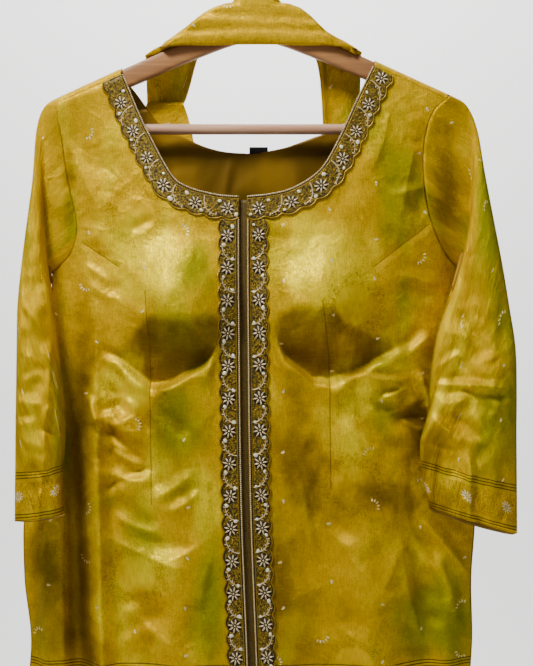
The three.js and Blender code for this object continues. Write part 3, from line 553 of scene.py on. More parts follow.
def darts(x, z):
    total = np.zeros_like(x)
    for x0, z0, x1, z1, spread, depth in DARTS:
        length, run, off = beside_line(x, z, x0, z0, x1, z1)
        t = run / length**2
        off = off / spread
        fade = ease((t + 0.04) / 0.12) * ease((1.04 - t) / 0.12)
        pucker = 0.4 * np.sin(length * t / 3.1) * np.exp(-((np.abs(off) - 1.6) ** 2))
        total += fade * depth * (pucker - np.exp(-off**2))
    return total


def seam_distance(x, z):
    """The distance in mm to one side or the other of the nearest dart, and 9 far from them."""
    nearest = np.full(x.shape, 9.0)
    for x0, z0, x1, z1, _, _ in DARTS:
        length, run, off = beside_line(x, z, x0, z0, x1, z1)
        t = run / length**2
        off = np.where((t > -0.01) & (t < 1.01), off, 9.0)
        nearest = np.where(np.abs(off) < np.abs(nearest), off, nearest)
    return nearest


def tone(name, x, z):
    """How strongly one list of TONES shows at a place: the shot silk's green, the painted shade (brown) or
    the painted highlight (light).
    """
    total = np.zeros_like(x)
    for x0, z0, wide, high, strength in TONES[name]:
        reach = ((x - x0) / wide) ** 2 + ((z - z0) / high) ** 2
        total = np.maximum(total, strength * np.exp(-0.8 * reach))
    return total


def soft_waves(x, z):
    """The slight unevenness that hanging silk has everywhere."""
    return (0.55 * np.sin(x / 17.0 + 1.6 * np.sin(z / 61.0)) + 0.4 * np.sin(z / 23.0 + x / 37.0)
            + 0.35 * np.sin(x / 9.5 - z / 71.0 + 1.1 * np.sin(z / 33.0)))


def shoulder_roll(below):
    rest = 1 - np.clip(below, 0, SHOULDER_RADIUS) / SHOULDER_RADIUS
    return SHOULDER_RADIUS * np.sqrt(1 - rest * rest)


def cup_rise(x, z):
    total = np.zeros_like(x)
    for across, height, width, above, below, rise in CUPS:
        reach = np.hypot((x - across) / width, (z - height) / np.where(z > height, above, below))
        total += rise * np.cos(np.pi / 2 * np.minimum(reach, 1)) ** 2
    return total


def neck_curve(face, side):
    """Places at even steps along a neckline, with their distance from the shoulder seam."""
    rows = np.array(NECK[(face, side)], float)
    rows[0, 1] = ridge(rows[0, 0]) - SEAM_DROP
    at = np.linspace(0, len(rows) - 1, 500)
    line = np.empty((len(at), 2))
    for k, t in enumerate(at):
        i = min(int(t), len(rows) - 2)
        f = t - i
        a, b, c, d = (rows[j] for j in (max(i - 1, 0), i, i + 1, min(i + 2, len(rows) - 1)))
        v0, v1 = (c - a) / 2, (d - b) / 2
        line[k] = (2 * b - 2 * c + v0 + v1) * f**3 + (3 * c - 3 * b - 2 * v0 - v1) * f**2 + v0 * f + b
    run = np.concatenate([[0], np.cumsum(np.linalg.norm(np.diff(line, axis=0), axis=1))])
    return line, run


NECK_LINES = {key: neck_curve(*key) for key in NECK}


def neck_at(face, side, share):
    line, run = NECK_LINES[(face, side)]
    at = np.asarray(share, float) * run[-1]
    return np.interp(at, run, line[:, 0]), np.interp(at, run, line[:, 1])


def from_trims(x, z):
    """How far a place on the front lies outside the embroidered trims."""
    near = np.abs(x - placket(np.minimum(z, -271.0))) - 26
    near = np.where(z < -262, near, 200.0)
    for side in (-1, 1):
        line = NECK_LINES[(-1, side)][0][::16]
        gap = np.full(x.shape, 1e9)
        for px, pz in line:
            gap = np.minimum(gap, np.hypot(x - px, z - pz))
        near = np.minimum(near, gap - 25)
    return near


def body_depth(face, x, z, fine=True):
    """The depth of the front (face -1) or the back (face 1) of the kurta."""
    x, z = np.broadcast_arrays(np.asarray(x, float), np.asarray(z, float))
    left, right = column(BODY, z, 1), column(BODY, z, 2)
    share = clip01(np.abs(x - (left + right) / 2) / ((right - left) / 2))
    fall = 1 - share**3
    below = ridge(x) - z
    side = SIDE_DEPTH * ease(below / 345 / 0.5)
    if face < 0:
        stand = -column(BODY, z, 3)
        bumps = cup_rise(x, z) + main_folds(FRONT_FOLDS, x, z)
    else:
        stand = column(BODY, z, 4)
        bumps = main_folds(BACK_FOLDS, x, z)
    if fine:
        if face < 0:
            small = creases(FRONT_CREASES, x, z) + soft_waves(x, z) + darts(x, z)
            small = small + crushed(x, z, CRUSHED) + under_cups(x, z)[0]
            small = small * ease(from_trims(x, z) / 14)
        else:
            small = creases(BACK_CREASES, x, z) + soft_waves(x + 31, z + 17) + crushed(-x, z, CRUSHED) * 0.6
        bumps = bumps + small * ease((below - 12) / 40)
    form = side + (stand - side) * fall + face * bumps * np.minimum(1, fall * 5)
    return mix(face * shoulder_roll(below), form, ease(below / TOP_BLEND))


def armhole_x(side, face, share):
    return side * column(ARMHOLE, share, 3 if face > 0 else 2 if side < 0 else 1)


def centre_x(face, side, z):
    return placket(z) + side * PLACKET_HALF_GAP if face < 0 else np.full_like(z, -10.0)


def panel_grid(face, side, columns, bodice_rows, skirt_rows):
    """Half of the front or back, from the neck and centre line out to the armhole and side."""
    neck_steps = 8 if face < 0 else 6
    step = np.linspace(0, 11, bodice_rows)
    share = smooth_rows(np.arange(len(ARMHOLE)), ARMHOLE[:, 0], step + 2)
    share[-1] = 1
    outer_x = armhole_x(side, face, share)
    outer_z = mix(ridge(outer_x), UNDERARM, share)
    inner_x, inner_z = neck_at(face, side, clip01(step / neck_steps))
    drop = clip01((step - neck_steps) / (11 - neck_steps))
    inner_z = mix(inner_z, UNDERARM, drop)
    inner_x = np.where(drop > 0, centre_x(face, side, inner_z), inner_x)
    down = np.linspace(UNDERARM, HEM, skirt_rows + 1)[1:]
    outer_x = np.concatenate([outer_x, column(BODY, down, 1 if side < 0 else 2)])
    outer_z = np.concatenate([outer_z, down])
    inner_x = np.concatenate([inner_x, centre_x(face, side, down)])
    inner_z = np.concatenate([inner_z, down])
    level = np.concatenate([step / 11, np.ones(len(down))])[:, None]
    t = np.linspace(0, 1, columns)[None, :]
    x = mix(inner_x[:, None], outer_x[:, None], t)
    below = mix((ridge(inner_x) - inner_z)[:, None], (ridge(outer_x) - outer_z)[:, None], t)
    z = mix(ridge(x) - below, mix(inner_z[:, None], outer_z[:, None], t), level)
    y = body_depth(face, x, z)
    lowest = np.arange(len(outer_x)) >= bodice_rows - 1
    y[lowest, -1] = SIDE_DEPTH + 0.5 * SEAM * face
    return np.stack([x, y, z], axis=-1)


def rolled_grid(side, columns, rows):
    """The top of the back, which rolls forward over the hanger to the shoulder seam."""
    most = math.acos(1 - SEAM_DROP / SHOULDER_RADIUS)
    angle = np.linspace(-most, most, rows)
    below = SHOULDER_RADIUS * (1 - np.cos(angle))
    share = below / (ridge(207.0) - UNDERARM)
    t = np.linspace(0, 1, columns)[None, :]
    out = np.empty((rows, columns, 3))
    for k in range(rows):
        face = -1 if angle[k] < 0 else 1
        x = mix(NECK[(1, side)][0][0], armhole_x(side, face, share[k]), t[0])
        z = ridge(x) - below[k]
        y = body_depth(face, x, z, fine=False)
        out[k] = np.stack([x, y, z], axis=-1)
    out[0, :, 2] += SEAM
    return out


def sleeve_grid(side, around, along):
    """The sleeve as rings from the armhole to the cuff."""
    turn = np.linspace(0, 1, around)
    share = 0.5 - 0.5 * np.cos(2 * np.pi * turn)
    face = np.where(turn <= 0.5, -1.0, 1.0)
    rounded = np.abs(np.sin(2 * np.pi * turn)) ** 0.6
    rings = []
    x = np.where(face < 0, armhole_x(side, -1, share), armhole_x(side, 1, share))
    x = mix(x, side * 206.0, ease(1 - share / 0.03))
    z = mix(ridge(x), UNDERARM, share)
    y = np.where(face < 0, body_depth(-1, x, z, fine=False), body_depth(1, x, z, fine=False))
    y = mix(y, SIDE_DEPTH, ease((share - 0.985) / 0.015))
    rings.append(np.stack([x + side * SEAM, y, z], axis=-1))
    table = SLEEVES[side]
    for k, row in enumerate(table):
        out_x, out_z, out_y, in_x, in_z, in_y, front, back = row
        y = mix(out_y, in_y, share) + np.where(face < 0, -front, back) * rounded
        z = mix(out_z, in_z, share)
        if k == len(table) - 1:
            z = z - np.where(face > 0, CUFF_BACK_DROP * rounded, 0)
        rings.append(np.stack([mix(out_x, in_x, share), y, z], axis=-1))
    rings = np.array(rings)
    at = np.linspace(0, len(rings) - 1, along)
    grid = smooth_rows(np.arange(len(rings)), rings, at)
    x, z = grid[..., 0], grid[..., 2]
    facet = crushed(x * 1.3, z, [], 0.5) * ease((-z - 250) / 160) + crushed(x * 1.3, z, [], 0.14)
    small = creases(SLEEVE_CREASES[side], x, z) + 0.7 * soft_waves(x + 11, z) + facet
    behind = creases(SLEEVE_CREASES[side], x + 6, z + 24) * 0.7 + soft_waves(x - 40, z)
    lifted = np.where(face[None, :] < 0, -small, behind) * rounded[None, :] ** 2
    grid[..., 1] += lifted * ease((at / 1.6))[:, None]
    return grid, np.where(face[None, :] < 0, small, behind) * rounded[None, :] ** 2


def lengths(grid, axis):
    """The running length along a grid, for the cloth's own coordinates."""
    step = np.linalg.norm(np.diff(grid, axis=axis), axis=-1)
    total = np.cumsum(step, axis=axis)
    pad = [(0, 0), (0, 0)]
    pad[axis] = (1, 0)
    return np.pad(total, pad)


# ---------- meshes ----------
# What each point carries into the silk's colour: fold paints shade into crease troughs and highlights onto
# ridges, brown is painted shade, light is painted highlight, green is the shot silk's hue.
CARRIED = ("fold", "hem", "green", "brown", "light", "seam")
TONE_NAMES = CARRIED[2:5]


def link(obj):
    bpy.context.scene.collection.objects.link(obj)
    return obj


def grid_mesh(name, patches, materials, toward, merge=0.0):
    """A sheet from patches of points; each patch has points in mm, cloth coordinates in metres and what it
    carries at every point: crease height (which paints shade and highlights into the silk's colour), distance
    to the bordered edge and tones (the shot silk's green, painted shade and painted highlights)."""
    bm = bmesh.new()
    uv_layer = bm.loops.layers.uv.new("cloth")
    layers = {key: bm.verts.layers.float.new(key) for key in CARRIED}
    for points, cloth, carried in patches:
        rows, columns = points.shape[:2]
        made = bmesh.ops.create_grid(bm, x_segments=columns - 1, y_segments=rows - 1, size=0.5)
        place = {}
        for vert in made["verts"]:
            j = round((vert.co.x + 0.5) * (columns - 1))
            i = round((vert.co.y + 0.5) * (rows - 1))
            place[vert] = (i, j)
            vert.co = points[i, j] * MM
            for key, layer in layers.items():
                vert[layer] = carried[key][i, j]
        faces = {face for vert in made["verts"] for face in vert.link_faces}
        for face in faces:
            for loop in face.loops:
                loop[uv_layer].uv = cloth[place[loop.vert]]
    if merge:
        bmesh.ops.remove_doubles(bm, verts=bm.verts[:], dist=merge * MM)
    bmesh.ops.recalc_face_normals(bm, faces=bm.faces[:])
    if toward is None:
        middle = sum((v.co for v in bm.verts), Vector()) / len(bm.verts)
        facing = sum((f.calc_center_median() - middle).dot(f.normal) * f.calc_area() for f in bm.faces)
    else:
        facing = sum(f.normal.dot(Vector(toward)) * f.calc_area() for f in bm.faces)
    if facing < 0:
        bmesh.ops.reverse_faces(bm, faces=bm.faces[:])
    for face in bm.faces:
        face.smooth = True
    mesh = bpy.data.meshes.new(name)
    bm.to_mesh(mesh)
    bm.free()
    for material in materials:
        mesh.materials.append(material)
    return link(bpy.data.objects.new(name, mesh))


def patch(points, u=None, v=None, fold=None, hem=None, tones=None, seam=None):
    shape = points.shape[:2]
    u = points[..., 0] if u is None else u
    v = points[..., 2] if v is None else v
    cloth = np.stack([u, v], axis=-1) * MM
    carried = {"fold": np.zeros(shape) if fold is None else np.clip(fold / 5, -1, 1),
               "hem": np.ones(shape) if hem is None else np.broadcast_to(hem, shape) * MM}
    for key in TONE_NAMES:
        carried[key] = np.zeros(shape) if tones is None else tone(key, *tones)
    carried["seam"] = np.full(shape, 9.0) if seam is None else seam
    return points, cloth, carried


def wall(obj, thickness, inner_material=0):
    solid = obj.modifiers.new("wall", "SOLIDIFY")
    solid.thickness = thickness
    solid.offset = -1
    solid.material_offset = inner_material


def area_of(obj):
    return sum(p.area for p in obj.data.polygons)


def declare_sheet(obj, grids, length=None):
    """Works out the cut of a sheet: its widest and longest lines, and its area; nothing keeps the results."""
    width = sum(lengths(g, 1)[:, -1].max() for g in grids) * MM
    area = area_of(obj)
    length = length or max(lengths(g, 0)[-1].max() for g in grids) * MM
    length = max(length, area / width)


def finish_piece(obj, slot, *nodes):
    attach(obj, "root")
    if nodes:
        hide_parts(*nodes)


# ---------- shader helpers ----------
def srgb(r, g, b):
    def linear(c):
        c /= 255
        return c / 12.92 if c <= 0.04045 else ((c + 0.055) / 1.055) ** 2.4
    return (linear(r), linear(g), linear(b), 1.0)


class Graph:
    """Adds nodes to a tree and links them, placing each to the right of the last."""

    def __init__(self, tree):
        self.tree = tree
        self.count = 0

    def add(self, kind, **settings):
        node = self.tree.nodes.new(kind)
        node.location = (180 * (self.count % 9), -220 * (self.count // 9))
        self.count += 1
        for key, value in settings.items():
            setattr(node, key, value)
        return node

    def feed(self, socket, value):
        if isinstance(value, bpy.types.NodeSocket):
            self.tree.links.new(value, socket)
        elif value is not None:
            socket.default_value = value

    def math(self, operation, *values):
        node = self.add("ShaderNodeMath", operation=operation)
        for socket, value in zip(node.inputs, values):
            self.feed(socket, value)
        return node.outputs[0]

    def plus(self, a, b):
        return self.math("ADD", a, b)

    def minus(self, a, b):
        return self.math("SUBTRACT", a, b)

    def times(self, a, b):
        return self.math("MULTIPLY", a, b)

    def over(self, a, b):
        return self.math("DIVIDE", a, b)

    def radius(self, x, y):
        return self.math("SQRT", self.plus(self.times(x, x), self.times(y, y)))

    def vector(self, operation, *values):
        node = self.add("ShaderNodeVectorMath", operation=operation)
        for socket, value in zip(node.inputs, values):
            self.feed(socket, value)
        return node.outputs[0]

    def split(self, vector):
        node = self.add("ShaderNodeSeparateXYZ")
        self.feed(node.inputs[0], vector)
        return node.outputs[0], node.outputs[1], node.outputs[2]

    def join(self, x=0.0, y=0.0, z=0.0):
        node = self.add("ShaderNodeCombineXYZ")
        for socket, value in zip(node.inputs, (x, y, z)):
            self.feed(socket, value)
        return node.outputs[0]

    def noise(self, vector, scale, detail=2.0, rough=0.5, distortion=0.0):
        node = self.add("ShaderNodeTexNoise")
        for name, value in (("Vector", vector), ("Scale", scale), ("Detail", detail),
                            ("Roughness", rough), ("Distortion", distortion)):
            self.feed(node.inputs[name], value)
        return node.outputs["Fac"]

    def blend(self, share, a, b):
        node = self.add("ShaderNodeMix", data_type="RGBA")
        self.feed(node.inputs[0], share)
        self.feed(node.inputs[6], a)
        self.feed(node.inputs[7], b)
        return node.outputs[2]

    def step(self, value, low, high):
        """0 under low, 1 over high, and smooth between."""
        node = self.add("ShaderNodeMapRange", interpolation_type="SMOOTHSTEP")
        for socket, item in zip(node.inputs[:5], (value, low, high, 0.0, 1.0)):
            self.feed(socket, item)
        return node.outputs[0]

    def bump(self, height, distance, strength=1.0, normal=None):
        node = self.add("ShaderNodeBump")
        self.feed(node.inputs["Height"], height)
        self.feed(node.inputs["Distance"], distance)
        self.feed(node.inputs["Strength"], strength)
        self.feed(node.inputs["Normal"], normal)
        return node.outputs[0]


def group(name, inputs, outputs, build):
    """A node group with named inputs and outputs; build returns the value of each output."""
    tree = bpy.data.node_groups.new(name, "ShaderNodeTree")
    for label, kind, default in inputs:
        socket = tree.interface.new_socket(label, in_out="INPUT", socket_type=kind)
        if default is not None:
            socket.default_value = default
    for label, kind in outputs:
        tree.interface.new_socket(label, in_out="OUTPUT", socket_type=kind)
    graph = Graph(tree)
    given = graph.add("NodeGroupInput")
    made = build(graph, *[given.outputs[label] for label, *_ in inputs])
    result = graph.add("NodeGroupOutput")
    for (label, _), value in zip(outputs, made):
        graph.feed(result.inputs[label], value)
    return tree


def use(graph, tree, **values):
    node = graph.add("ShaderNodeGroup", node_tree=tree)
    for label, value in values.items():
        graph.feed(node.inputs[label.replace("_", " ")], value)
    return node.outputs


VECTOR, FLOAT, COLOUR = "NodeSocketVector", "NodeSocketFloat", "NodeSocketColor"


def lattice(g, cloth, across, down, drop):
    """Local coordinates in the cells of a repeat, and a number for each cell."""
    u, v, _ = g.split(cloth)
    u = g.over(u, across)
    column_number = g.math("FLOOR", u)
    v = g.plus(g.over(v, down), g.times(g.math("PINGPONG", column_number, 1.0), drop))
    x = g.times(g.minus(g.math("FRACT", u), 0.5), across)
    y = g.times(g.minus(g.math("FRACT", v), 0.5), down)
    cell = g.join(column_number, g.math("FLOOR", v))
    return x, y, cell


def petals_mask(g, x, y, angle, reach, length, width, spacing, number):
    """A fan of petals on an arc about the cell's middle."""
    turned = g.minus(g.math("ARCTAN2", y, x), angle)
    turned = g.math("WRAP", turned, math.pi, -math.pi)
    index = g.math("ROUND", g.over(turned, spacing))
    index = g.math("MAXIMUM", g.math("MINIMUM", index, float(number)), -float(number))
    off = g.minus(turned, g.times(index, spacing))
    radius = g.radius(x, y)
    along = g.over(g.minus(radius, reach), length)
    side = g.over(g.times(off, radius), width)
    side = g.times(side, g.plus(1.15, g.times(along, 0.45)))
    size = g.plus(g.times(along, along), g.times(side, side))
    return g.step(size, 1.15, 0.8)


def build_weave(g, cloth):
    """Fine scribbled figure of the jacquard: curled lines over a twill ground."""
    bent = g.noise(cloth, 260.0, 2.0, 0.5, 0.9)
    second = g.noise(g.vector("ADD", cloth, (0.37, 0.11, 0.0)), 420.0, 2.0, 0.5, 1.0)
    curl = g.step(g.math("ABSOLUTE", g.minus(bent, 0.5)), 0.05, 0.015)
    dash = g.step(g.math("ABSOLUTE", g.minus(second, 0.47)), 0.03, 0.01)
    figure = g.math("MAXIMUM", curl, g.times(dash, 0.7))
    u, v, _ = g.split(cloth)
    twill = g.math("SINE", g.plus(g.times(u, 9000.0), g.times(v, 5200.0)))
    grain = g.times(twill, 0.12)
    return figure, g.plus(g.times(figure, 0.8), grain)


def build_crumple(g, cloth):
    """The little facets of silk that has been folded and worn."""
    shift = g.join(g.times(g.noise(cloth, 30.0), 0.02), g.times(g.noise(cloth, 24.0), 0.02))
    bent = g.vector("ADD", cloth, shift)
    broad = g.math("ABSOLUTE", g.minus(g.noise(bent, 26.0, 2.0, 0.5, 0.3), 0.5))
    small = g.math("ABSOLUTE", g.minus(g.noise(bent, 62.0, 2.0, 0.5, 0.5), 0.5))
    return (g.times(g.plus(broad, g.times(small, 0.35)), -1.0),)


def build_motifs(g, cloth):
    """Foil teardrops and little fans of petals, and the large plain roundels."""
    x, y, cell = lattice(g, cloth, 0.05, 0.056, 0.5)
    chance = g.add("ShaderNodeTexWhiteNoise", noise_dimensions="2D")
    g.feed(chance.inputs["Vector"], cell)
    red, green, blue = g.split(chance.outputs["Color"])
    angle = g.times(g.minus(red, 0.5), 6.2)
    x = g.plus(x, g.times(g.minus(green, 0.5), 0.014))
    y = g.plus(y, g.times(g.minus(blue, 0.5), 0.014))
    fan = petals_mask(g, x, y, angle, 0.0074, 0.0018, 0.0010, 0.46, 2)
    drop = petals_mask(g, x, y, angle, 0.004, 0.0023, 0.0014, 2.4, 0)
    which = g.step(green, 0.72, 0.74)
    shown = g.step(red, 0.86, 0.84)
    foil = g.times(shown, g.plus(g.times(fan, which), g.times(drop, g.minus(1.0, which))))
    moved = g.vector("ADD", cloth, (0.0125, 0.099, 0.0))
    x, y, _ = lattice(g, moved, 0.229, 0.189, 0.5)
    radius = g.radius(x, y)
    turned = g.math("ARCTAN2", y, x)
    teeth = g.times(g.math("SINE", g.times(turned, 26.0)), 0.0011)
    disc = g.step(radius, 0.0226, 0.0186)
    edge = g.plus(0.033, g.times(teeth, 1.8))
    ring = g.times(g.step(g.minus(radius, edge), 0.0004, -0.0002), g.minus(1.0, disc))
    foil = g.times(foil, g.step(radius, 0.022, 0.026))
    return foil, disc, ring


def build_shot_and_painted_light(g, cloth, fold, to_green, to_brown, to_light, light, gold, green, brown):
    """Changing colour of shot silk in long soft bands of green and gold, with painted shade, browner in the
    brown patches and in the folds, and painted highlights, lighter in the light patches and on the crease
    ridges.
    """
    u, v, _ = g.split(cloth)
    long = g.join(g.times(u, 11.0), g.times(v, 2.6))
    wide = g.step(g.noise(long, 1.0, 2.0, 0.45, 0.35), 0.5, 0.66)
    browner = g.noise(g.join(g.times(u, 17.0), g.times(v, 9.0), 3.1), 1.0, 3.0, 0.6, 0.3)
    lighter = g.noise(g.join(g.times(u, 23.0), g.times(v, 14.0), 7.7), 1.0, 3.0, 0.6, 0.4)
    torn = g.times(g.minus(browner, 0.5), 2.4)
    torn_light = g.times(g.minus(lighter, 0.5), 2.0)
    green_share = g.step(g.plus(g.plus(to_green, torn), g.times(wide, 0.4)), 0.15, 1.1)
    # Painted shade where the brown tone is laid, and painted highlights where the light tone is laid.
    painted_shade_share = g.step(g.minus(to_brown, torn_light), 0.05, 1.05)
    painted_highlight_share = g.step(g.plus(to_light, torn_light), 0.05, 0.85)
    slub = g.noise(g.join(g.times(u, 760.0), g.times(v, 90.0)), 1.0, 2.0, 0.5)
    weft = g.noise(g.join(g.times(u, 60.0), g.times(v, 900.0)), 1.0, 1.0, 0.5)
    colour = g.blend(g.times(painted_highlight_share, 0.95), gold, light)
    colour = g.blend(g.times(green_share, 0.8), colour, green)
    colour = g.blend(g.times(painted_shade_share, 0.8), colour, brown)
    # Painted shade in the crease troughs and a faint painted highlight on the crease ridges.
    colour = g.blend(g.times(g.step(fold, -0.1, -1.0), 0.3), colour, brown)
    colour = g.blend(g.times(g.step(fold, 0.3, 1.0), 0.1), colour, light)
    colour = g.blend(g.times(g.step(slub, 0.4, 0.7), 0.2), colour, brown)
    colour = g.blend(g.times(g.step(weft, 0.5, 0.75), 0.07), colour, light)
    return (colour,)


def build_border(g, cloth, hem):
    """The woven border: three dark lines, a band of brocade scrolls with flowers, three lines."""
    u, _, _ = g.split(cloth)
    inside = g.step(hem, BORDER_HEIGHT + 0.0004, BORDER_HEIGHT - 0.0004)
    ground = g.times(g.step(hem, 0.0105, 0.0112), g.step(hem, 0.0402, 0.0395))
    upper = g.times(g.step(hem, 0.0418, 0.0424), inside)
    lower = g.times(g.step(hem, 0.0088, 0.0082), g.step(hem, 0.0004, 0.0010))
    wave = g.math("SINE", g.times(hem, 2 * math.pi / 0.0031))
    lines = g.times(g.math("MAXIMUM", upper, lower), g.step(wave, 0.1, 0.5))
    middle = g.minus(hem, 0.0254)
    cell = g.over(u, 0.047)
    x = g.times(g.minus(g.math("FRACT", cell), 0.5), 0.047)
    lift = g.times(g.math("SINE", g.times(g.math("FLOOR", cell), math.pi * 0.9)), 0.0045)
    high = g.minus(middle, lift)
    outer = petals_mask(g, x, high, 0.0, 0.0044, 0.0021, 0.0008, 2 * math.pi / 10, 5)
    inner = petals_mask(g, x, high, 0.2, 0.0013, 0.0006, 0.0005, 2 * math.pi / 4, 2)
    flower = g.times(ground, g.math("MAXIMUM", outer, inner))
    far = g.radius(x, high)
    round_flower = g.step(far, 0.0066, 0.0078)
    turned = g.math("ARCTAN2", middle, g.minus(g.math("ABSOLUTE", x), 0.0235))
    squared = g.math("POWER", g.minus(g.math("ABSOLUTE", x), 0.0235), 2.0)
    wide = g.math("SQRT", g.plus(squared, g.times(middle, middle)))
    spiral = g.math("SINE", g.plus(g.times(wide, 2 * math.pi / 0.0036), g.times(turned, 2.0)))
    vine = g.times(g.step(spiral, 0.35, 0.8), g.step(wide, 0.0125, 0.0110))
    curls = g.noise(cloth, 330.0, 1.0, 0.4, 1.4)
    curls = g.step(g.math("ABSOLUTE", g.minus(curls, 0.5)), 0.06, 0.02)
    scroll = g.times(g.times(ground, round_flower), g.math("MAXIMUM", g.times(vine, 0.45), curls))
    return inside, lines, ground, scroll, flower


def new_material(name):
    material = bpy.data.materials.new(name)
    material.use_nodes = True
    graph = Graph(material.node_tree)
    shader = next(n for n in material.node_tree.nodes if n.type == "BSDF_PRINCIPLED")
    return material, graph, shader


def set_shader(graph, shader, **values):
    for label, value in values.items():
        graph.feed(shader.inputs[label.replace("_", " ")], value)


def silk_material(groups, name, light, gold, green, brown, sheen):
    material, g, shader = new_material(name)
    cloth = g.add("ShaderNodeUVMap", uv_map="cloth").outputs[0]
    fold = g.add("ShaderNodeAttribute", attribute_name="fold").outputs["Fac"]
    hem = g.add("ShaderNodeAttribute", attribute_name="hem").outputs["Fac"]
    weave = use(g, groups["weave"], Cloth=cloth)
    motifs = use(g, groups["motifs"], Cloth=cloth)
    border = use(g, groups["border"], Cloth=cloth, Hem=hem)
    turns = {f"To_{key}": g.add("ShaderNodeAttribute", attribute_name=key).outputs["Fac"]
             for key in TONE_NAMES}
    shot = use(g, groups["shot_silk_and_painted_light"], Cloth=cloth, Fold=fold, Light=light, Gold=gold, Green=green,
               Brown=brown, **turns)
    plain = g.minus(1.0, g.math("MAXIMUM", g.times(motifs["Disc"], 0.7), border["Inside"]))
    figure = g.times(weave["Figure"], plain)
    seam = g.math("ABSOLUTE", g.add("ShaderNodeAttribute", attribute_name="seam").outputs["Fac"])
    seam = g.step(seam, 0.75, 0.3)
    colour = g.blend(g.times(figure, 0.26), shot["Colour"], brown)
    ring = g.times(motifs["Ring"], g.plus(0.08, g.times(weave["Figure"], 0.3)))
    colour = g.blend(ring, colour, brown)
    colour = g.blend(g.times(seam, 0.6), colour, brown)
    colour = g.blend(g.times(motifs["Disc"], 0.04), colour, gold)
    foil = g.times(motifs["Foil"], plain)
    colour = g.blend(foil, colour, srgb(244, 222, 150))
    colour = g.blend(g.times(border["Ground"], 0.4), colour, srgb(214, 168, 22))
    colour = g.blend(g.times(border["Scroll"], 0.7), colour, srgb(112, 80, 2))
    colour = g.blend(g.times(border["Lines"], 0.85), colour, srgb(62, 44, 4))
    colour = g.blend(border["Flower"], colour, srgb(250, 240, 200))
    stitched = g.plus(g.times(border["Scroll"], 1.5), g.times(border["Flower"], 2.2))
    woven = g.minus(g.times(weave["Height"], plain), g.times(seam, 2.5))
    raised = g.plus(woven, g.plus(g.times(foil, 1.6), stitched))
    metal = g.math("MAXIMUM", g.math("MAXIMUM", foil, border["Flower"]), g.times(border["Scroll"], 0.8))
    rough = g.plus(0.45, g.times(figure, 0.12))
    crumple = use(g, groups["crumple"], Cloth=cloth)["Height"]
    set_shader(g, shader, Base_Color=colour, Metallic=g.plus(sheen, g.times(metal, 0.3)),
               Roughness=rough, Specular_IOR_Level=0.12, Specular_Tint=light,
               Normal=g.bump(raised, 0.00026, 0.7, g.bump(crumple, 0.006, 0.6)))
    return material


def lining_material(name, colour, deep):
    """Plain satin, smooth and a little uneven in colour."""
    material, g, shader = new_material(name)
    cloth = g.add("ShaderNodeUVMap", uv_map="cloth").outputs[0]
    u, v, _ = g.split(cloth)
    soft = g.noise(g.join(g.times(u, 14.0), g.times(v, 8.0)), 1.0, 2.0, 0.5, 0.3)
    thread = g.noise(g.join(g.times(u, 900.0), g.times(v, 60.0)), 1.0, 1.0)
    set_shader(g, shader, Base_Color=g.blend(g.step(soft, 0.35, 0.65), deep, colour), Metallic=0.3,
               Roughness=g.plus(0.42, g.times(thread, 0.1)), Specular_IOR_Level=0.3,
               Normal=g.bump(thread, 0.0001, 0.4))
    return material


def thread_material(name, colour, dark, metallic, roughness, scale=1400.0):
    """Zari thread, foil or glass bead, with the fine unevenness of handwork."""
    material, g, shader = new_material(name)
    place = g.add("ShaderNodeTexCoord").outputs["Object"]
    grain = g.noise(place, scale, 2.0, 0.6)
    tint = g.blend(g.step(grain, 0.35, 0.7), dark, colour)
    set_shader(g, shader, Base_Color=tint, Metallic=metallic,
               Roughness=g.plus(roughness, g.times(grain, 0.12)),
               Normal=g.bump(grain, 0.00015, 0.5))
    return material


def wood_material(groups, name, pale, deep):
    material, g, shader = new_material(name)
    place = g.add("ShaderNodeTexCoord").outputs["Object"]
    grain = use(g, groups["wood_grain"], Place=place)
    colour = g.blend(grain["Streak"], pale, deep)
    set_shader(g, shader, Base_Color=colour, Roughness=g.plus(0.5, g.times(grain["Streak"], 0.16)),
               Normal=g.bump(grain["Streak"], 0.0002, 0.3), Coat_Weight=0.08, Coat_Roughness=0.4)
    return material


def build_grain(g, place):
    x, y, z = g.split(place)
    long = g.join(g.times(x, 9.0), g.times(y, 190.0), g.times(z, 190.0))
    fine = g.noise(long, 1.0, 3.0, 0.6, 0.4)
    broad = g.noise(g.join(g.times(x, 3.0), g.times(y, 40.0), g.times(z, 40.0)), 1.0, 2.0)
    return (g.step(g.plus(g.times(fine, 0.6), g.times(broad, 0.4)), 0.32, 0.66),)


def make_groups():
    cloth = ("Cloth", VECTOR, None)
    turns = [(f"To {name}", FLOAT, 0.0) for name in TONE_NAMES]
    colours = [(name, COLOUR, None) for name in ("Light", "Gold", "Green", "Brown")]
    table = {
        "weave": (build_weave, [cloth], ("Figure", "Height")),
        "crumple": (build_crumple, [cloth], ("Height",)),
        "motifs": (build_motifs, [cloth], ("Foil", "Disc", "Ring")),
        "shot_silk_and_painted_light": (build_shot_and_painted_light, [cloth, ("Fold", FLOAT, 0.0), *turns, *colours], ("Colour",)),
        "border": (build_border, [cloth, ("Hem", FLOAT, 1.0)],
                   ("Inside", "Lines", "Ground", "Scroll", "Flower")),
        "wood_grain": (build_grain, [("Place", VECTOR, None)], ("Streak",)),
    }
    made = {}
    for key, (build, inputs, names) in table.items():
        outputs = [(name, COLOUR if name == "Colour" else FLOAT) for name in names]
        made[key] = group(f"suit_{key}", inputs, outputs, build)
    return made


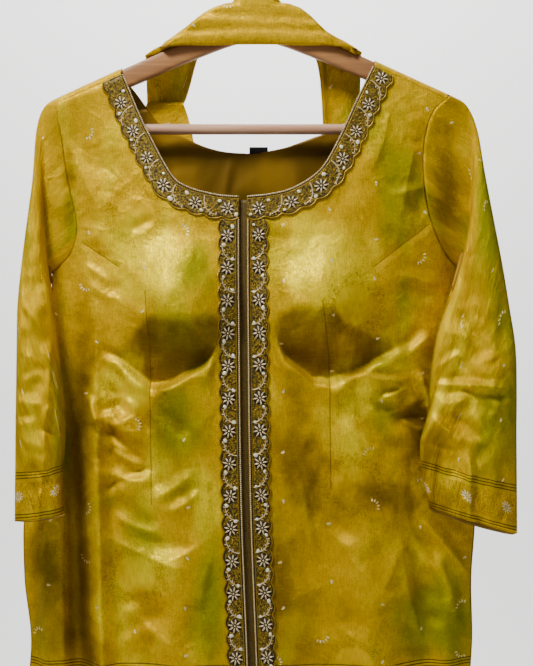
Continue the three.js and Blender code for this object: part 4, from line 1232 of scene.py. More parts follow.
def make_materials():
    groups = make_groups()
    silk = silk_material(groups, "silk", light=srgb(252, 224, 0), gold=srgb(218, 174, 0),
                         green=srgb(134, 146, 0), brown=srgb(96, 66, 0), sheen=0.5)
    lining = lining_material("lining", srgb(150, 112, 0), srgb(112, 82, 0))
    return {
        "silk": silk,
        "lining": lining,
        "trim": thread_material("trim_ground", srgb(150, 122, 8), srgb(52, 40, 2), 0.35, 0.48, 520.0),
        "gold": thread_material("zari_gold", srgb(214, 172, 40), srgb(126, 94, 8), 0.6, 0.32),
        "pale": thread_material("pale_zari", srgb(255, 238, 196), srgb(206, 176, 120), 0.35, 0.3),
        "bead": thread_material("glass_bead", srgb(226, 190, 40), srgb(130, 102, 8), 0.4, 0.2),
        "shade": thread_material("dark_thread", srgb(50, 34, 2), srgb(20, 13, 0), 0.2, 0.6),
        "sequin": thread_material("sequin", srgb(255, 252, 232), srgb(250, 238, 190), 0.25, 0.15, 300.0),
        "underlap": thread_material("underlap", srgb(104, 80, 4), srgb(58, 42, 0), 0.3, 0.5, 1100.0),
        "label": thread_material("label", srgb(24, 24, 24), srgb(10, 10, 10), 0.0, 0.7, 2200.0),
        "wood": wood_material(groups, "arm_wood", srgb(176, 122, 68), srgb(138, 90, 46)),
        "bar_wood": wood_material(groups, "bar_wood", srgb(214, 168, 132), srgb(182, 132, 98)),
        "strip": thread_material("toothed_strip", srgb(214, 206, 190), srgb(168, 152, 130), 0.1, 0.35, 800.0),
        "steel": thread_material("hook_steel", srgb(206, 208, 212), srgb(180, 184, 190), 1.0, 0.2, 500.0),
    }


# ---------- the kurta ----------
def fold_height(face, x, z):
    if face < 0:
        folds = creases(FRONT_CREASES, x, z) + darts(x, z) + 0.35 * main_folds(FRONT_FOLDS, x, z)
        return folds * ease(from_trims(x, z) / 14)
    return creases(BACK_CREASES, x, z) + 0.35 * main_folds(BACK_FOLDS, x, z)


def make_front(side, settings, materials):
    name = "front_left" if side < 0 else "front_right"
    grid = panel_grid(-1, side, 94, 88, 200)
    x, z = grid[..., 0], grid[..., 2]
    # The crease heights, scaled by this setting, go only into the fold attribute, which paints shade into the
    # troughs and highlights onto the ridges.
    fold = fold_height(-1, x, z) * settings.painted_crease_shade_and_highlight
    cloth = patch(grid, fold=fold, hem=z - HEM, tones=(x, z), seam=seam_distance(x, z))
    # Painted shade: the hollow under each cup is darkened further in the brown tone.
    cloth[2]["brown"] = np.maximum(cloth[2]["brown"], 0.8 * under_cups(x, z)[1])
    obj = grid_mesh(name, [cloth], [materials["silk"], materials["lining"]], (0, -1, 0))
    wall(obj, settings.cloth_thickness, 1)
    finish_piece(obj, "silk", "kurta_front_left" if side < 0 else "kurta_front_right")
    declare_sheet(obj, [grid])


def make_back(settings, materials):
    patches, grids = [], []
    for side in (-1, 1):
        below = panel_grid(1, side, 62, 76, 140)
        rolled = rolled_grid(side, 62, 15)
        rolled[-1] = below[0]
        grid = np.concatenate([rolled, below[1:]])
        x, z = grid[..., 0], grid[..., 2]
        fold = fold_height(1, x, z)
        fold[:20] = 0
        # The back takes the front's tones mirrored and at half strength, the shot silk's green with painted
        # shade (brown) and painted highlights (light); its fold attribute paints shade and highlights at the
        # creases.
        cloth = patch(grid, fold=fold, hem=z - HEM, tones=(-x - 18, z + 26))
        for key in TONE_NAMES:
            cloth[2][key] = 0.5 * cloth[2][key]
        patches.append(cloth)
        grids.append(grid)
    obj = grid_mesh("back", patches, [materials["silk"], materials["lining"]], (0, 1, 0), merge=0.05)
    wall(obj, settings.cloth_thickness, 1)
    finish_piece(obj, "silk", "kurta_back")
    declare_sheet(obj, grids)


def make_lining(materials):
    patches, grids = [], []
    for side in (-1, 1):
        grid = panel_grid(1, side, 60, 60, 60)[8:75, :36].copy()
        grid[..., 1] -= LINING_INSET
        grid[..., 2] -= LINING_DROP
        x, z = grid[..., 0], grid[..., 2]
        crease = creases([(-26, -221, -36, -296, 2, 4, 1.6), (40, -236, 56, -300, 2, 8, 1.0)], x, z)
        grid[..., 1] -= crease
        patches.append(patch(grid, fold=crease))
        grids.append(grid)
    obj = grid_mesh("back_lining", patches, [materials["lining"]], (0, -1, 0), merge=0.05)
    wall(obj, 0.0006)
    finish_piece(obj, "lining", "kurta_back_lining")
    declare_sheet(obj, grids)
    return obj


def make_sleeve(side, settings, materials):
    name = "sleeve_left" if side < 0 else "sleeve_right"
    grid, fold = sleeve_grid(side, 121, 150)
    u = lengths(grid, 1)
    down = lengths(grid, 0)
    hem = down[-1][None, :] - down
    # The sleeve's fold attribute and tones paint shade into the crease troughs and brown patches and
    # highlights onto the ridges and light patches, beside the shot silk's green.
    obj = grid_mesh(name + "_silk", [patch(grid, u, -down, fold, hem, (grid[..., 0], grid[..., 2]))],
                    [materials["silk"], materials["lining"]], None, merge=0.02)
    wall(obj, settings.cloth_thickness, 1)
    finish_piece(obj, "silk", name)
    declare_sheet(obj, [grid])


def make_underlap(materials):
    z = np.linspace(-272, HEM + 1, 160)
    t = np.linspace(-1, 1, 25)
    middle = placket(z)
    x = middle[:, None] + UNDERLAP_HALF * t[None, :]
    across = (middle + k * UNDERLAP_HALF for k in (-1, 0, 1))
    depth = np.max([body_depth(-1, place, z, fine=False) for place in across], axis=0) + UNDERLAP_INSET
    ribs = 0.7 * np.abs(np.sin(np.pi * UNDERLAP_HALF * t / 2.4))
    y = np.repeat(depth[:, None], len(t), axis=1) - ribs[None, :]
    grid = np.stack([x, y, np.repeat(z[:, None], len(t), axis=1)], axis=-1)
    obj = grid_mesh("underlap", [patch(grid)], [materials["underlap"]], (0, -1, 0))
    wall(obj, 0.0008)
    finish_piece(obj, "underlap", "placket_underlap")
    declare_sheet(obj, [grid])


def make_label(materials):
    x, z = np.meshgrid(np.linspace(-8, 12, 9), np.linspace(-210.8, -219.6, 6))
    y = 17.5 - 0.25 * np.cos((x - 2) / 10 * math.pi / 2)
    grid = np.stack([x, y, z], axis=-1)
    obj = grid_mesh("neck_tab", [patch(grid)], [materials["label"]], (0, -1, 0))
    wall(obj, 0.0006)
    finish_piece(obj, "label", "neck_label")


# ---------- the embroidered trims ----------
BEAD_MATERIALS = ("gold", "pale", "bead", "shade", "sequin")
GOLD, PALE, BEAD, SHADE, SEQUIN = range(len(BEAD_MATERIALS))


class Trim:
    """A band on the front with its own coordinates: s runs along it and t out from its corded edge."""

    def __init__(self, kind, side):
        self.kind = kind
        self.side = side
        self.width = TRIM_WIDTH[kind]
        if kind == "neck":
            line, run = NECK_LINES[(-1, side)]
            self.run, self.line = run, line
            self.length = run[-1]
            slope = np.gradient(line, axis=0)
            out = np.stack([slope[:, 1], -slope[:, 0]], axis=-1)
            out *= np.where(out[:, :1] * side < 0, -1, 1)
            out /= np.linalg.norm(out, axis=1, keepdims=True)
            share = ease((run / self.length - 0.93) / 0.07)[:, None]
            out = mix(out, np.array([[0.0, -1.0]]), share)
            self.out = out / np.linalg.norm(out, axis=1, keepdims=True)
        else:
            self.top = -270 - TRIM_WIDTH["neck"] - 0.5
            self.length = self.top - (HEM + 0.5)

    def edge(self, s):
        pitches = max(round(self.length / SCALLOP_PITCH), 1)
        return self.width + SCALLOP_RISE * np.abs(np.sin(np.pi * s / self.length * pitches))

    def flat(self, s, t):
        s = np.asarray(s, float)
        if self.kind == "neck":
            px = np.interp(s, self.run, self.line[:, 0])
            pz = np.interp(s, self.run, self.line[:, 1])
            ox = np.interp(s, self.run, self.out[:, 0])
            oz = np.interp(s, self.run, self.out[:, 1])
            x, z = px + ox * (t - 1), pz + oz * (t - 1)
            top = ridge(x) - SEAM_DROP - 2.5
            z = np.where(s < 12, np.minimum(z, top), z)
            return x, z
        z = self.top - s
        return placket(z) + self.side * (5.5 + t), z

    def place(self, s, t, h):
        x, z = self.flat(s, t)
        y = body_depth(-1, x, z) - 0.7 - h
        return np.stack([x, y, z], axis=-1)


def template(make, **values):
    """The points and faces of a small shape made once and then repeated."""
    bm = bmesh.new()
    make(bm, **values)
    bm.verts.ensure_lookup_table()
    points = np.array([v.co for v in bm.verts])
    faces = np.array([[v.index for v in f.verts] + [-1] * (4 - len(f.verts)) for f in bm.faces])
    bm.free()
    return points, faces


class Beadwork:
    """Collects small domes and cords in a trim's coordinates and turns them into one mesh."""

    shapes = {}

    def __init__(self):
        self.points, self.faces, self.slots, self.total = [], [], [], 0

    def add(self, points, faces, material):
        self.points.append(points)
        self.faces.append(np.where(faces < 0, -1, faces + self.total))
        self.slots.append(np.full(len(faces), material))
        self.total += len(points)

    def ball(self, sides, rings):
        key = (sides, rings)
        if key not in self.shapes:
            self.shapes[key] = template(bmesh.ops.create_uvsphere, u_segments=sides, v_segments=rings,
                                        radius=1.0)
        return self.shapes[key]

    def dome(self, s, t, h, long, wide, high, angle=0.0, material=0, sides=8, rings=5, taper=0.0):
        unit, faces = self.ball(sides, rings)
        c, d = math.cos(angle), math.sin(angle)
        a, b, e = unit.T
        b = b * (1 - taper * a)
        points = np.stack([s + (a * long) * c - (b * wide) * d, t + (a * long) * d + (b * wide) * c,
                           h + e * high], axis=-1)
        self.add(points, faces, material)

    def cord(self, s, t, h, radius, material=0, sides=5):
        """A cord along a line; s, t and h are arrays."""
        line = np.stack(np.broadcast_arrays(s, t, h), axis=-1).astype(float)
        count = len(line)
        key = ("cord", sides, count)
        if key not in self.shapes:
            self.shapes[key] = template(bmesh.ops.create_grid, x_segments=sides, y_segments=count - 1,
                                        size=0.5)
        unit, faces = self.shapes[key]
        slope = np.gradient(line[:, :2], axis=0)
        slope /= np.linalg.norm(slope, axis=1, keepdims=True)
        radius = np.broadcast_to(radius, (count,))
        j = np.rint((unit[:, 0] + 0.5) * sides) % sides
        i = np.rint((unit[:, 1] + 0.5) * (count - 1)).astype(int)
        angle = 2 * np.pi * j / sides
        across = radius[i] * np.cos(angle)
        points = np.stack([line[i, 0] - slope[i, 1] * across, line[i, 1] + slope[i, 0] * across,
                           line[i, 2] + radius[i] * np.sin(angle)], axis=-1)
        self.add(points, faces, material)

    def object(self, name, place, materials):
        flat = np.concatenate(self.points)
        placed = place(flat[:, 0], flat[:, 1], flat[:, 2]) * MM
        faces = np.concatenate(self.faces)
        mesh = bpy.data.meshes.new(name)
        mesh.from_pydata(placed.tolist(), [], [[k for k in face if k >= 0] for face in faces.tolist()])
        mesh.polygons.foreach_set("material_index", np.concatenate(self.slots))
        bm = bmesh.new()
        bm.from_mesh(mesh)
        bmesh.ops.remove_doubles(bm, verts=bm.verts[:], dist=0.000001)
        bmesh.ops.recalc_face_normals(bm, faces=bm.faces[:])
        for face in bm.faces:
            face.smooth = True
        bm.to_mesh(mesh)
        bm.free()
        for material in materials:
            mesh.materials.append(material)
        return link(bpy.data.objects.new(name, mesh))


def make_trim(kind, side, materials):
    trim = Trim(kind, side)
    word = "left" if side < 0 else "right"
    rows = int(trim.length / TRIM_ROW)
    s = np.linspace(0, trim.length, rows)
    share = np.linspace(0, 1, 10)
    along = np.repeat(s[:, None], 10, 1)
    out = mix(-1.2, trim.edge(s)[:, None], share[None, :])
    grid = trim.place(along, out, 0.9 if kind == "neck" else 0.6)
    band = grid_mesh(f"{kind}_band_{word}", [patch(grid, along, out)], [materials["trim"]], (0, -1, 0))
    wall(band, 0.0009)
    finish_piece(band, "trim", f"trim_{kind}_{word}")
    work = Beadwork()
    rng = np.random.default_rng(27 + 10 * side + (kind == "neck"))
    top = STITCH_TOP
    line = np.linspace(0.4, trim.length - 0.4, rows)
    for at in np.arange(1.0, trim.length - 1, EDGE_BEAD_STEP):
        work.dome(at, -0.5, top + 0.4, 0.95, 0.8, 0.9, 0.5, PALE, 6, 4)
    work.cord(line, 1.0 + 0 * line, top - 0.1, 0.45, SHADE)
    work.cord(line, 2.1 + 0 * line, top - 0.1, 0.45, GOLD)
    work.cord(line, trim.edge(line) - 0.5, top - 0.1, 0.7, GOLD)
    work.cord(line, trim.edge(line) - 2.0, top - 0.1, 0.4, SHADE)
    middle = 0.5 * (trim.width + 3.6)
    places = flower_places(trim)
    for k, at in enumerate(places):
        flower_at(work, at, middle, top, FLOWER_SIZE)
        if k + 1 < len(places):
            vine_at(work, trim, 0.5 * (at + places[k + 1]), k, top)
    for at in np.arange(2.0, trim.length - 1.5, FILL_STEP):
        across = rng.uniform(3.6, trim.edge(at) - 2.4)
        clear = min(math.hypot(at - place, across - middle) for place in places)
        if clear < FLOWER_CLEAR:
            continue
        size = rng.uniform(0.42, 0.78)
        turn = rng.uniform(0, 3)
        colour = (GOLD, BEAD, BEAD, SHADE)[int(rng.integers(0, 4))]
        work.dome(at, across, top + 0.1, size * 1.7, size, size, turn, colour, 6, 4)
    for k, at in enumerate(places):
        for way, t in ((8.6, trim.width - 3.2), (-9.5, 5.6)):
            if rng.random() < 0.85 and 2 < at + way < trim.length - 2:
                size = rng.uniform(1.7, 2.6)
                moved = at + way + rng.uniform(-1.5, 1.5)
                turn = rng.uniform(0, 3)
                work.dome(moved, t, top + 0.5, size, size * 0.8, 0.7, turn, SEQUIN, 10, 5)
    beads = work.object(f"{kind}_beadwork_{word}", trim.place, [materials[name] for name in BEAD_MATERIALS])
    finish_piece(beads, "trim")
    declare_sheet(band, [grid])


def flower_places(trim):
    """Flowers stand a repeat apart, from the placket upwards on the neck and downwards below it."""
    if trim.kind == "neck":
        last = trim.length - 11.5
        return sorted(last - k * REPEAT * 0.94 for k in range(int((last - 9) // (REPEAT * 0.94)) + 1))
    start = 17.5 if trim.side < 0 else 16.5
    return [start + k * REPEAT for k in range(int((trim.length - start - 6) // REPEAT) + 1)]


def flower_at(work, s, t, h, size):
    """An eight-petalled flower of drawn stitches round a knot, on a dark ring."""
    work.dome(s, t, h - 0.25, size * 1.02, size * 1.02, 0.55, 0, SHADE, 16, 4)
    for k in range(8):
        angle = 2 * math.pi * k / 8 + 0.2
        c, d = math.cos(angle), math.sin(angle)
        work.dome(s + size * 0.58 * c, t + size * 0.58 * d, h + 0.35, size * 0.33, size * 0.125, 0.75,
                  angle, PALE, 8, 5, -0.4)
        work.dome(s + size * 0.93 * c, t + size * 0.93 * d, h + 0.2, size * 0.1, size * 0.1, 0.6,
                  0, PALE, 6, 4)
    work.dome(s, t, h + 0.35, size * 0.15, size * 0.15, 0.9, 0, PALE, 8, 5)


def vine_at(work, trim, s, k, h):
    """A curved spray from the beaded cord out to the scallops, with leaves on both sides."""
    share = np.linspace(0, 1, 16)
    way = 1 if trim.kind == "placket" else -1
    line_s = s + way * (8.5 - 15 * share**1.8)
    line_t = mix(3.0, trim.width - 1.6, np.sin(share * math.pi / 2) ** 0.9)
    work.cord(line_s, line_t, h + 0.3, mix(0.62, 0.4, share), PALE)
    for j, at in enumerate((0.3, 0.46, 0.62, 0.78, 0.94)):
        i = min(int(at * 15), 14)
        turn = math.atan2(line_t[i + 1] - line_t[i - 1], line_s[i + 1] - line_s[i - 1])
        for hand in (-1, 1):
            angle = turn + hand * 0.9
            reach = 2.3 - 0.15 * j
            work.dome(line_s[i] + reach * math.cos(angle), line_t[i] + reach * math.sin(angle), h + 0.2,
                      reach * 0.66, 0.62, 0.55, angle, (PALE, GOLD)[(j + (hand > 0) + k) % 2], 6, 4, 0.3)


# ---------- the sharara ----------
def legs_line(row):
    x, front, top_row, wrap, foot, lip = row
    half = LEGS_HALF
    seated = ridge(x) - ARM_DROP + 2.4 * SEAM + half
    top = mix(top_row - half, max(top_row - half, seated), ease(wrap * 2 - 1))
    bend = top - LEGS_BEND

    def turn(angle):
        return np.array([LEGS_FRONT * math.cos(angle), bend + LEGS_BEND * math.sin(angle)])

    over = []
    for share in (0, 0.35, 0.7):
        on_top = turn(math.pi * mix(0.32, 0.45, share))
        over.append(mix(on_top, np.array([LEGS_FRONT, mix(front, bend, share / 0.7)]), lip))
    for k in range(1, 5):
        over.append(turn(math.pi * mix(mix(0.5, 0, lip), 1, k / 4)))
    foot = min(foot, bend - 8)
    for k in range(1, 6):
        z = mix(bend, foot, k / 5)
        over.append(np.array([mix(-LEGS_FRONT, LEGS_BEHIND, float(ease((bend - z) / LEGS_SETBACK))), z]))
    line = []
    for k, place in enumerate(over):
        upright = mix(front, top, 0.35 * k if k < 3 else mix(0.7, 1, (k - 2) / (len(over) - 3)))
        line.append([mix(LEGS_FRONT, place[0], wrap), mix(upright, place[1], wrap)])
    return np.array(line)


def legs_grid(columns, steps):
    """The folded layers as one skin round their section, from left to right."""
    rings = np.array([legs_ring(row, steps) for row in LEGS])
    across = np.linspace(LEGS[0, 0], LEGS[-1, 0], columns)
    shape = rings.shape[1:]
    flat = rings.reshape(len(LEGS), -1)
    grid = np.stack([np.interp(across, LEGS[:, 0], flat[:, k]) for k in range(flat.shape[1])], axis=-1)
    grid = grid.reshape((columns, *shape))
    weights = np.array([1, 2, 3, 2, 1]) / 9
    padded = np.concatenate([grid[:1]] * 2 + [grid] + [grid[-1:]] * 2)
    smooth = sum(w * padded[k:k + columns] for k, w in enumerate(weights))
    smooth[0], smooth[-1] = grid[0], grid[-1]
    x, y, z = smooth[..., 0], smooth[..., 1], smooth[..., 2]
    front = ease((-y - 8) / 4)
    press = (-1.7 * np.exp(-(((z + 75 + 3 * np.sin(x / 40)) / 3.0) ** 2))
             + 1.1 * np.exp(-(((z + 82 + 2 * np.sin(x / 31)) / 4.5) ** 2))
             - 1.5 * np.exp(-(((z + 89 - 2 * np.cos(x / 27)) / 2.8) ** 2))
             + 0.8 * np.exp(-(((z + 97 - 1.5 * np.cos(x / 33)) / 4.0) ** 2))
             + 0.5 * np.sin(x / 15 + z / 9))
    smooth[..., 1] -= press * front
    behind = ease((y - 14) / 6)
    smooth[..., 1] += behind * (1.2 * np.sin(x / 4.2 + 0.8 * np.sin(z / 30)) * ease((-120 - z) / 40))
    return smooth


def legs_ring(row, steps):
    line = legs_line(row)
    fine = smooth_rows(np.arange(len(line)), line, np.linspace(0, len(line) - 1, steps))
    slope = np.gradient(fine, axis=0)
    slope /= np.maximum(np.linalg.norm(slope, axis=1, keepdims=True), 1e-6)
    out = np.stack([-slope[:, 1], slope[:, 0]], axis=-1)
    end = min(row[0] - LEGS[0, 0], LEGS[-1, 0] - row[0])
    half = LEGS_HALF * math.sqrt(max(1 - (1 - min(end / 5, 1)) ** 2, 0.06))
    from_end = np.minimum(np.arange(steps), np.arange(steps)[::-1])
    cap = np.sqrt(np.clip(1 - (1 - np.minimum(from_end / 3, 1)) ** 2, 0.03, 1))
    outer = fine + out * (half * cap)[:, None]
    inner = fine - out * (half * cap)[:, None]
    ring = np.concatenate([outer, inner[::-1], outer[:1]])
    return np.column_stack([np.full(len(ring), row[0]), ring])


def make_legs(materials):
    grid = legs_grid(150, 64)
    u = lengths(grid, 1)
    obj = grid_mesh("folded_legs", [patch(grid, grid[..., 0], u)],
                    [materials["silk"], materials["lining"]], None, merge=0.02)
    wall(obj, 0.0008, 1)
    finish_piece(obj, "silk", "sharara_upper_legs")
    declare_sheet(obj, [grid], length=LEGS_CUT_LENGTH)


def gathered_grid(table, pleats, rows):
    """Gathered layers behind the kurta: a ring of cloth at each height."""
    z = np.linspace(table[0, 0], table[-1, 0], rows)
    left, right, depth, wave = (column(table, z, k)[:, None] for k in (1, 2, 3, 4))
    z = z[:, None]
    front_t = np.linspace(0, 1, 40)[None, :]
    x = mix(left, right, front_t)
    y = body_depth(1, x, np.minimum(z, NECK_BACK), fine=False) + LAYER_GAP
    front = np.stack([x, y, z + 0 * x], axis=-1)
    t = np.linspace(0, 1, pleats * 24 + 1)[None, :]
    uneven = t + 0.022 * np.sin(2 * np.pi * t * 2.3) + 0.012 * np.sin(2 * np.pi * t * 5.1 + z / 90)
    rounded = np.sqrt(np.maximum(1 - (2 * t - 1) ** 4, 0))
    pleat = np.cos(2 * np.pi * pleats * uneven)
    small = 0.16 * np.cos(2 * np.pi * pleats * 3.1 * uneven + z / 60)
    height = wave * (np.sign(pleat) * np.abs(pleat) ** 0.8 * (0.85 + 0.15 * np.cos(7 * t)) + small)
    x = mix(right, left, t)
    base = body_depth(1, x, np.minimum(z, NECK_BACK), fine=False) + LAYER_GAP
    y = base + 1.2 + (depth - 1.2 - wave + height) * mix(0.15, 1, rounded)
    back = np.stack([x, y, z + 0 * x], axis=-1)
    return np.concatenate([front, back, front[:, :1]], axis=1)


def make_flares(materials):
    grid = gathered_grid(FLARES, 6, 164)
    u, down = lengths(grid, 1), lengths(grid, 0)
    hem = down[-1][None, :] - down
    obj = grid_mesh("flares", [patch(grid, u, -down, None, hem)],
                    [materials["silk"], materials["lining"]], None, merge=0.02)
    wall(obj, 0.001, 1)
    finish_piece(obj, "silk", "sharara_flares")
    declare_sheet(obj, [grid])


def make_waistband(materials):
    grid = gathered_grid(WAIST, 9, 40)
    z = grid[..., 2]
    ribs = 0.35 * np.cos(2 * np.pi * (z + 266) / 8.0)
    grid[..., 1] += np.where(grid[..., 1] > 25, ribs, 0)
    obj = grid_mesh("waistband", [patch(grid, lengths(grid, 1), z)],
                    [materials["silk"], materials["lining"]], None, merge=0.02)
    wall(obj, 0.001, 1)
    finish_piece(obj, "silk", "sharara_waistband")
    declare_sheet(obj, [grid])


# ---------- the hanger ----------
def tube_object(name, rings, material):
    """A closed body through rings of points in mm."""
    rings = np.asarray(rings)
    count, sides = rings.shape[:2]
    bm = bmesh.new()
    closed = np.concatenate([rings, rings[:, :1]], axis=1)
    made = bmesh.ops.create_grid(bm, x_segments=sides, y_segments=count - 1, size=0.5)
    for vert in made["verts"]:
        j = round((vert.co.x + 0.5) * sides)
        i = round((vert.co.y + 0.5) * (count - 1))
        vert.co = closed[i, j] * MM
    bmesh.ops.remove_doubles(bm, verts=bm.verts[:], dist=1e-6)
    bmesh.ops.holes_fill(bm, edges=[e for e in bm.edges if e.is_boundary], sides=0)
    bmesh.ops.recalc_face_normals(bm, faces=bm.faces[:])
    for face in bm.faces:
        face.smooth = len(face.verts) == 4
    mesh = bpy.data.meshes.new(name)
    bm.to_mesh(mesh)
    bm.free()
    mesh.materials.append(material)
    return link(bpy.data.objects.new(name, mesh))


def make_hanger(materials):
    angle = np.linspace(0, 2 * np.pi, 28, endpoint=False)
    rings = []
    for x in np.concatenate([[-212, -211.4, -210], np.linspace(-207, 207, 120), [210, 211.4, 212]]):
        height = float(column(ARM_WOOD, abs(x), 1))
        top = float(ridge(x)) - ARM_DROP
        tip = math.sqrt(max(1 - max(0, (abs(x) - 207) / 5.2) ** 2, 0.05))
        y = 6 * tip * np.sign(np.cos(angle)) * np.abs(np.cos(angle)) ** 0.42
        up = np.sign(np.sin(angle)) * np.abs(np.sin(angle)) ** 0.5
        rings.append(np.column_stack([np.full(28, x), y, top - height / 2 * (1 - up * tip)]))
    arms = tube_object("arms", rings, materials["wood"])
    finish_piece(arms, "wood", "hanger_arms")
    circle = np.linspace(0, 2 * np.pi, 32, endpoint=False)
    round_y, round_z = BAR_RADIUS * np.cos(circle), BAR_HEIGHT + BAR_RADIUS * np.sin(circle)
    rings = [np.column_stack([np.full(32, x), round_y, round_z])
             for x in np.linspace(-BAR_SPAN, BAR_SPAN, 40)]
    bar = tube_object("bar", rings, materials["bar_wood"])
    finish_piece(bar, "bar_wood", "hanger_bar")
    strip = Beadwork()
    for x in np.arange(-176, 176.1, 2.4):
        strip.dome(x, BAR_HEIGHT + 5.1, 0.0, 0.85, 0.9, 2.4, 0, 0, 6, 4)
    strip.cord(np.linspace(-178, 178, 60), np.full(60, BAR_HEIGHT + 4.6), np.zeros(60), 1.1, 0)
    teeth = strip.object("grip_strip", lambda s, t, h: np.stack([s, h, t], axis=-1), [materials["strip"]])
    finish_piece(teeth, "bar_wood")
    path = [[0, -84], [0, -60], [3, -50], [13, -36.5]]
    middle = HOOK_RADIUS + ROD_RADIUS
    for k in range(15):
        a = mix(-math.pi / 5, math.pi * 1.12, k / 14)
        path.append([middle * math.cos(a), -HOOK_RADIUS + middle * math.sin(a)])
    path = np.array(path, float)
    fine = smooth_rows(np.arange(len(path)), path, np.linspace(0, len(path) - 1, 120))
    slope = np.gradient(fine, axis=0)
    slope /= np.linalg.norm(slope, axis=1, keepdims=True)
    circle = np.linspace(0, 2 * np.pi, 16, endpoint=False)
    rings = []
    for k, (place, along) in enumerate(zip(fine, slope)):
        radius = ROD_RADIUS * (1 if k < 118 else 0.7 if k == 118 else 0.25)
        out = radius * np.cos(circle)
        rings.append(np.column_stack([place[0] + along[1] * out, radius * np.sin(circle),
                                      place[1] - along[0] * out]))
    hook = tube_object("hook", rings, materials["steel"])
    finish_piece(hook, "steel", "hanger_hook")


# ---------- the stage ----------
FLOOR_HEIGHT = -1.7
FLOOR_RUN = 6.5
FLOOR_BEND = 0.8
WALL_PLACE = 3.4
WALL_RISE = 4.2
STAGE_WIDTH = 6.4
SUIT_MIDDLE = (0, 0, -0.45)
CAMERA_PLACE = (0.0105, -1.7, -0.4116)
SENSOR_HEIGHT = 24
LENS_LENGTH = 57.3


def make_stage(settings):
    material, g, shader = new_material("studio_paper")
    set_shader(g, shader, Base_Color=(0.86, 0.86, 0.85, 1.0), Roughness=0.9)
    bm = bmesh.new()
    made = bmesh.ops.create_grid(bm, x_segments=12, y_segments=60, size=0.5)
    turn = FLOOR_BEND * math.pi / 2
    for vert in made["verts"]:
        run = (vert.co.y + 0.5) * (FLOOR_RUN + turn + WALL_RISE)
        bend = min(max(run - FLOOR_RUN, 0.0), turn) / FLOOR_BEND
        rise = max(run - FLOOR_RUN - turn, 0.0)
        vert.co = (vert.co.x * STAGE_WIDTH, WALL_PLACE - FLOOR_BEND - FLOOR_RUN + min(run, FLOOR_RUN)
                   + FLOOR_BEND * math.sin(bend), FLOOR_HEIGHT + FLOOR_BEND * (1 - math.cos(bend)) + rise)
    bmesh.ops.recalc_face_normals(bm, faces=bm.faces[:])
    for face in bm.faces:
        face.smooth = True
    mesh = bpy.data.meshes.new("studio")
    bm.to_mesh(mesh)
    bm.free()
    mesh.materials.append(material)
    studio = link(bpy.data.objects.new("studio", mesh))
    for name, place, size, power, aim in (
        ("key", (-0.72, -0.92, 1.15), 0.45, settings.key_power, SUIT_MIDDLE),
        ("fill", (1.3, -1.4, -0.2), 1.0, settings.fill_power, SUIT_MIDDLE),
        ("behind", (-1.3, 0.7, 1.1), 0.5, settings.behind_power, SUIT_MIDDLE),
        ("backdrop", (0.0, 1.5, 1.6), 2.2, settings.backdrop_power, (0, WALL_PLACE, -0.5)),
    ):
        light = bpy.data.lights.new(name, "AREA")
        light.size = size
        light.energy = power
        obj = link(bpy.data.objects.new(name, light))
        obj.location = place
        obj.rotation_euler = (Vector(aim) - Vector(place)).to_track_quat("-Z", "Y").to_euler()
    world = bpy.data.worlds.new("studio_light")
    world.use_nodes = True
    background = world.node_tree.nodes["Background"]
    background.inputs[0].default_value = (1.0, 1.0, 1.0, 1.0)
    background.inputs[1].default_value = settings.room_light
    bpy.context.scene.world = world
    lens = bpy.data.cameras.new("camera")
    lens.sensor_fit = "VERTICAL"
    lens.sensor_height = SENSOR_HEIGHT
    lens.lens = LENS_LENGTH
    camera = link(bpy.data.objects.new("camera", lens))
    camera.location = CAMERA_PLACE
    camera.rotation_euler = (math.pi / 2, 0, 0)
    bpy.context.scene.camera = camera


# ---------- the add-on ----------
class SuitSettings(bpy.types.PropertyGroup):
    cloth_thickness: bpy.props.FloatProperty(
        name="Cloth thickness", description="Thickness of the lined silk", default=0.0012,
        min=0.0005, max=0.003, unit="LENGTH", subtype="DISTANCE")
    # How strongly the creases paint shade into the troughs and highlights onto the ridges of the front's silk
    # colour; the cloth's form does not change.
    painted_crease_shade_and_highlight: bpy.props.FloatProperty(
        name="Crease colour", description="How strongly the creases change the colour of the silk",
        default=1.0, min=0.0, max=2.0, subtype="FACTOR")


class StageSettings(bpy.types.PropertyGroup):
    key_power: bpy.props.FloatProperty(
        name="Key light", description="Power of the soft light above the left shoulder", default=59.0,
        min=0.0, unit="POWER")
    fill_power: bpy.props.FloatProperty(
        name="Fill light", description="Power of the wide light at the right", default=1.8,
        min=0.0, unit="POWER")
    behind_power: bpy.props.FloatProperty(
        name="Back light", description="Power of the soft light behind the suit", default=6.0,
        min=0.0, unit="POWER")
    backdrop_power: bpy.props.FloatProperty(
        name="Backdrop light", description="Power of the light on the paper behind", default=210.0,
        min=0.0, unit="POWER")
    room_light: bpy.props.FloatProperty(
        name="Room light", description="Strength of the even light of the room", default=0.16, min=0.0)


MATERIALS = {}


def materials():
    if not MATERIALS:
        MATERIALS.update(make_materials())
    return MATERIALS


class Maker:
    """What the operators share: they register an undo step and stop on a failure."""

    bl_options = {"REGISTER", "UNDO"}

    def execute(self, context):
        self.make(context.scene)
        return {"FINISHED"}


class SUIT_OT_kurta(Maker, bpy.types.Operator):
    """Cut and hang the fronts, the back, its lining, the underlap and the label"""
    bl_idname = "suit.kurta"
    bl_label = "Kurta body"

    def make(self, scene):
        for side in (-1, 1):
            make_front(side, scene.suit, materials())
        make_back(scene.suit, materials())
        make_lining(materials())
        make_underlap(materials())
        make_label(materials())


class SUIT_OT_sleeves(Maker, bpy.types.Operator):
    """Set in the two sleeves with their woven borders"""
    bl_idname = "suit.sleeves"
    bl_label = "Sleeves"

    def make(self, scene):
        for side in (-1, 1):
            make_sleeve(side, scene.suit, materials())


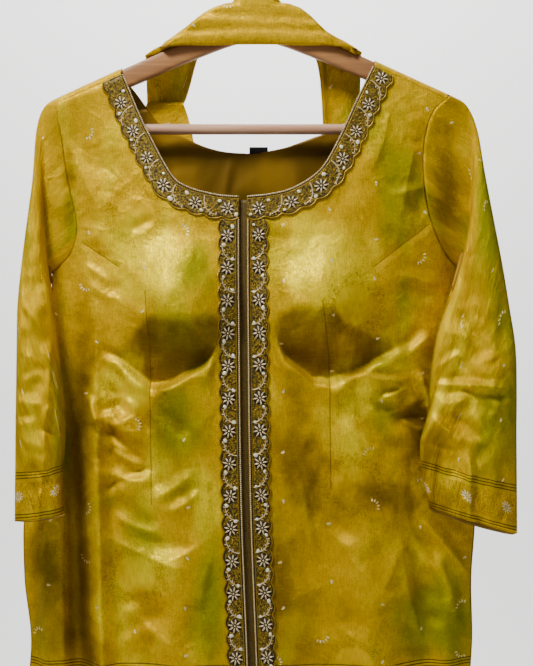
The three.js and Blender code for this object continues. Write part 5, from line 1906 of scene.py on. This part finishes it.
class SUIT_OT_trims(Maker, bpy.types.Operator):
    """Lay the scalloped trims with their embroidery along the neck and the placket"""
    bl_idname = "suit.trims"
    bl_label = "Trims"

    def make(self, scene):
        for kind in ("neck", "placket"):
            for side in (-1, 1):
                make_trim(kind, side, materials())


class SUIT_OT_sharara(Maker, bpy.types.Operator):
    """Fold the sharara over the hanger with its flares and waistband behind"""
    bl_idname = "suit.sharara"
    bl_label = "Sharara"

    def make(self, scene):
        make_legs(materials())
        make_flares(materials())
        make_waistband(materials())


class SUIT_OT_hanger(Maker, bpy.types.Operator):
    """Turn the wooden arms, the bar with its grip strip and the steel hook"""
    bl_idname = "suit.hanger"
    bl_label = "Hanger"

    def make(self, scene):
        make_hanger(materials())


class SUIT_OT_stage(Maker, bpy.types.Operator):
    """Set up the pale studio paper, the lights and the camera"""
    bl_idname = "suit.stage"
    bl_label = "Stage"

    def make(self, scene):
        make_stage(scene.suit_stage)


class SUIT_PT_panel(bpy.types.Panel):
    """Settings and steps of the suit"""
    bl_idname = "SUIT_PT_panel"
    bl_label = "Sharara suit"
    bl_space_type = "VIEW_3D"
    bl_region_type = "UI"
    bl_category = "Suit"

    def draw(self, context):
        for settings in (context.scene.suit, context.scene.suit_stage):
            for name in settings.__annotations__:
                self.layout.prop(settings, name)
        for operator in OPERATORS:
            self.layout.operator(operator.bl_idname)


OPERATORS = (SUIT_OT_hanger, SUIT_OT_kurta, SUIT_OT_sleeves, SUIT_OT_trims, SUIT_OT_sharara, SUIT_OT_stage)
CLASSES = (SuitSettings, StageSettings, *OPERATORS, SUIT_PT_panel)


def register():
    for item in CLASSES:
        bpy.utils.register_class(item)
    bpy.types.Scene.suit = bpy.props.PointerProperty(type=SuitSettings)
    bpy.types.Scene.suit_stage = bpy.props.PointerProperty(type=StageSettings)


def unregister():
    del bpy.types.Scene.suit_stage
    del bpy.types.Scene.suit
    for item in reversed(CLASSES):
        bpy.utils.unregister_class(item)


def main():
    register()
    bpy.ops.suit.hanger()
    bpy.ops.suit.kurta()
    bpy.ops.suit.sleeves()
    bpy.ops.suit.trims()
    bpy.ops.suit.sharara()
    bpy.ops.suit.stage()


if __name__ == "__main__":
    main()
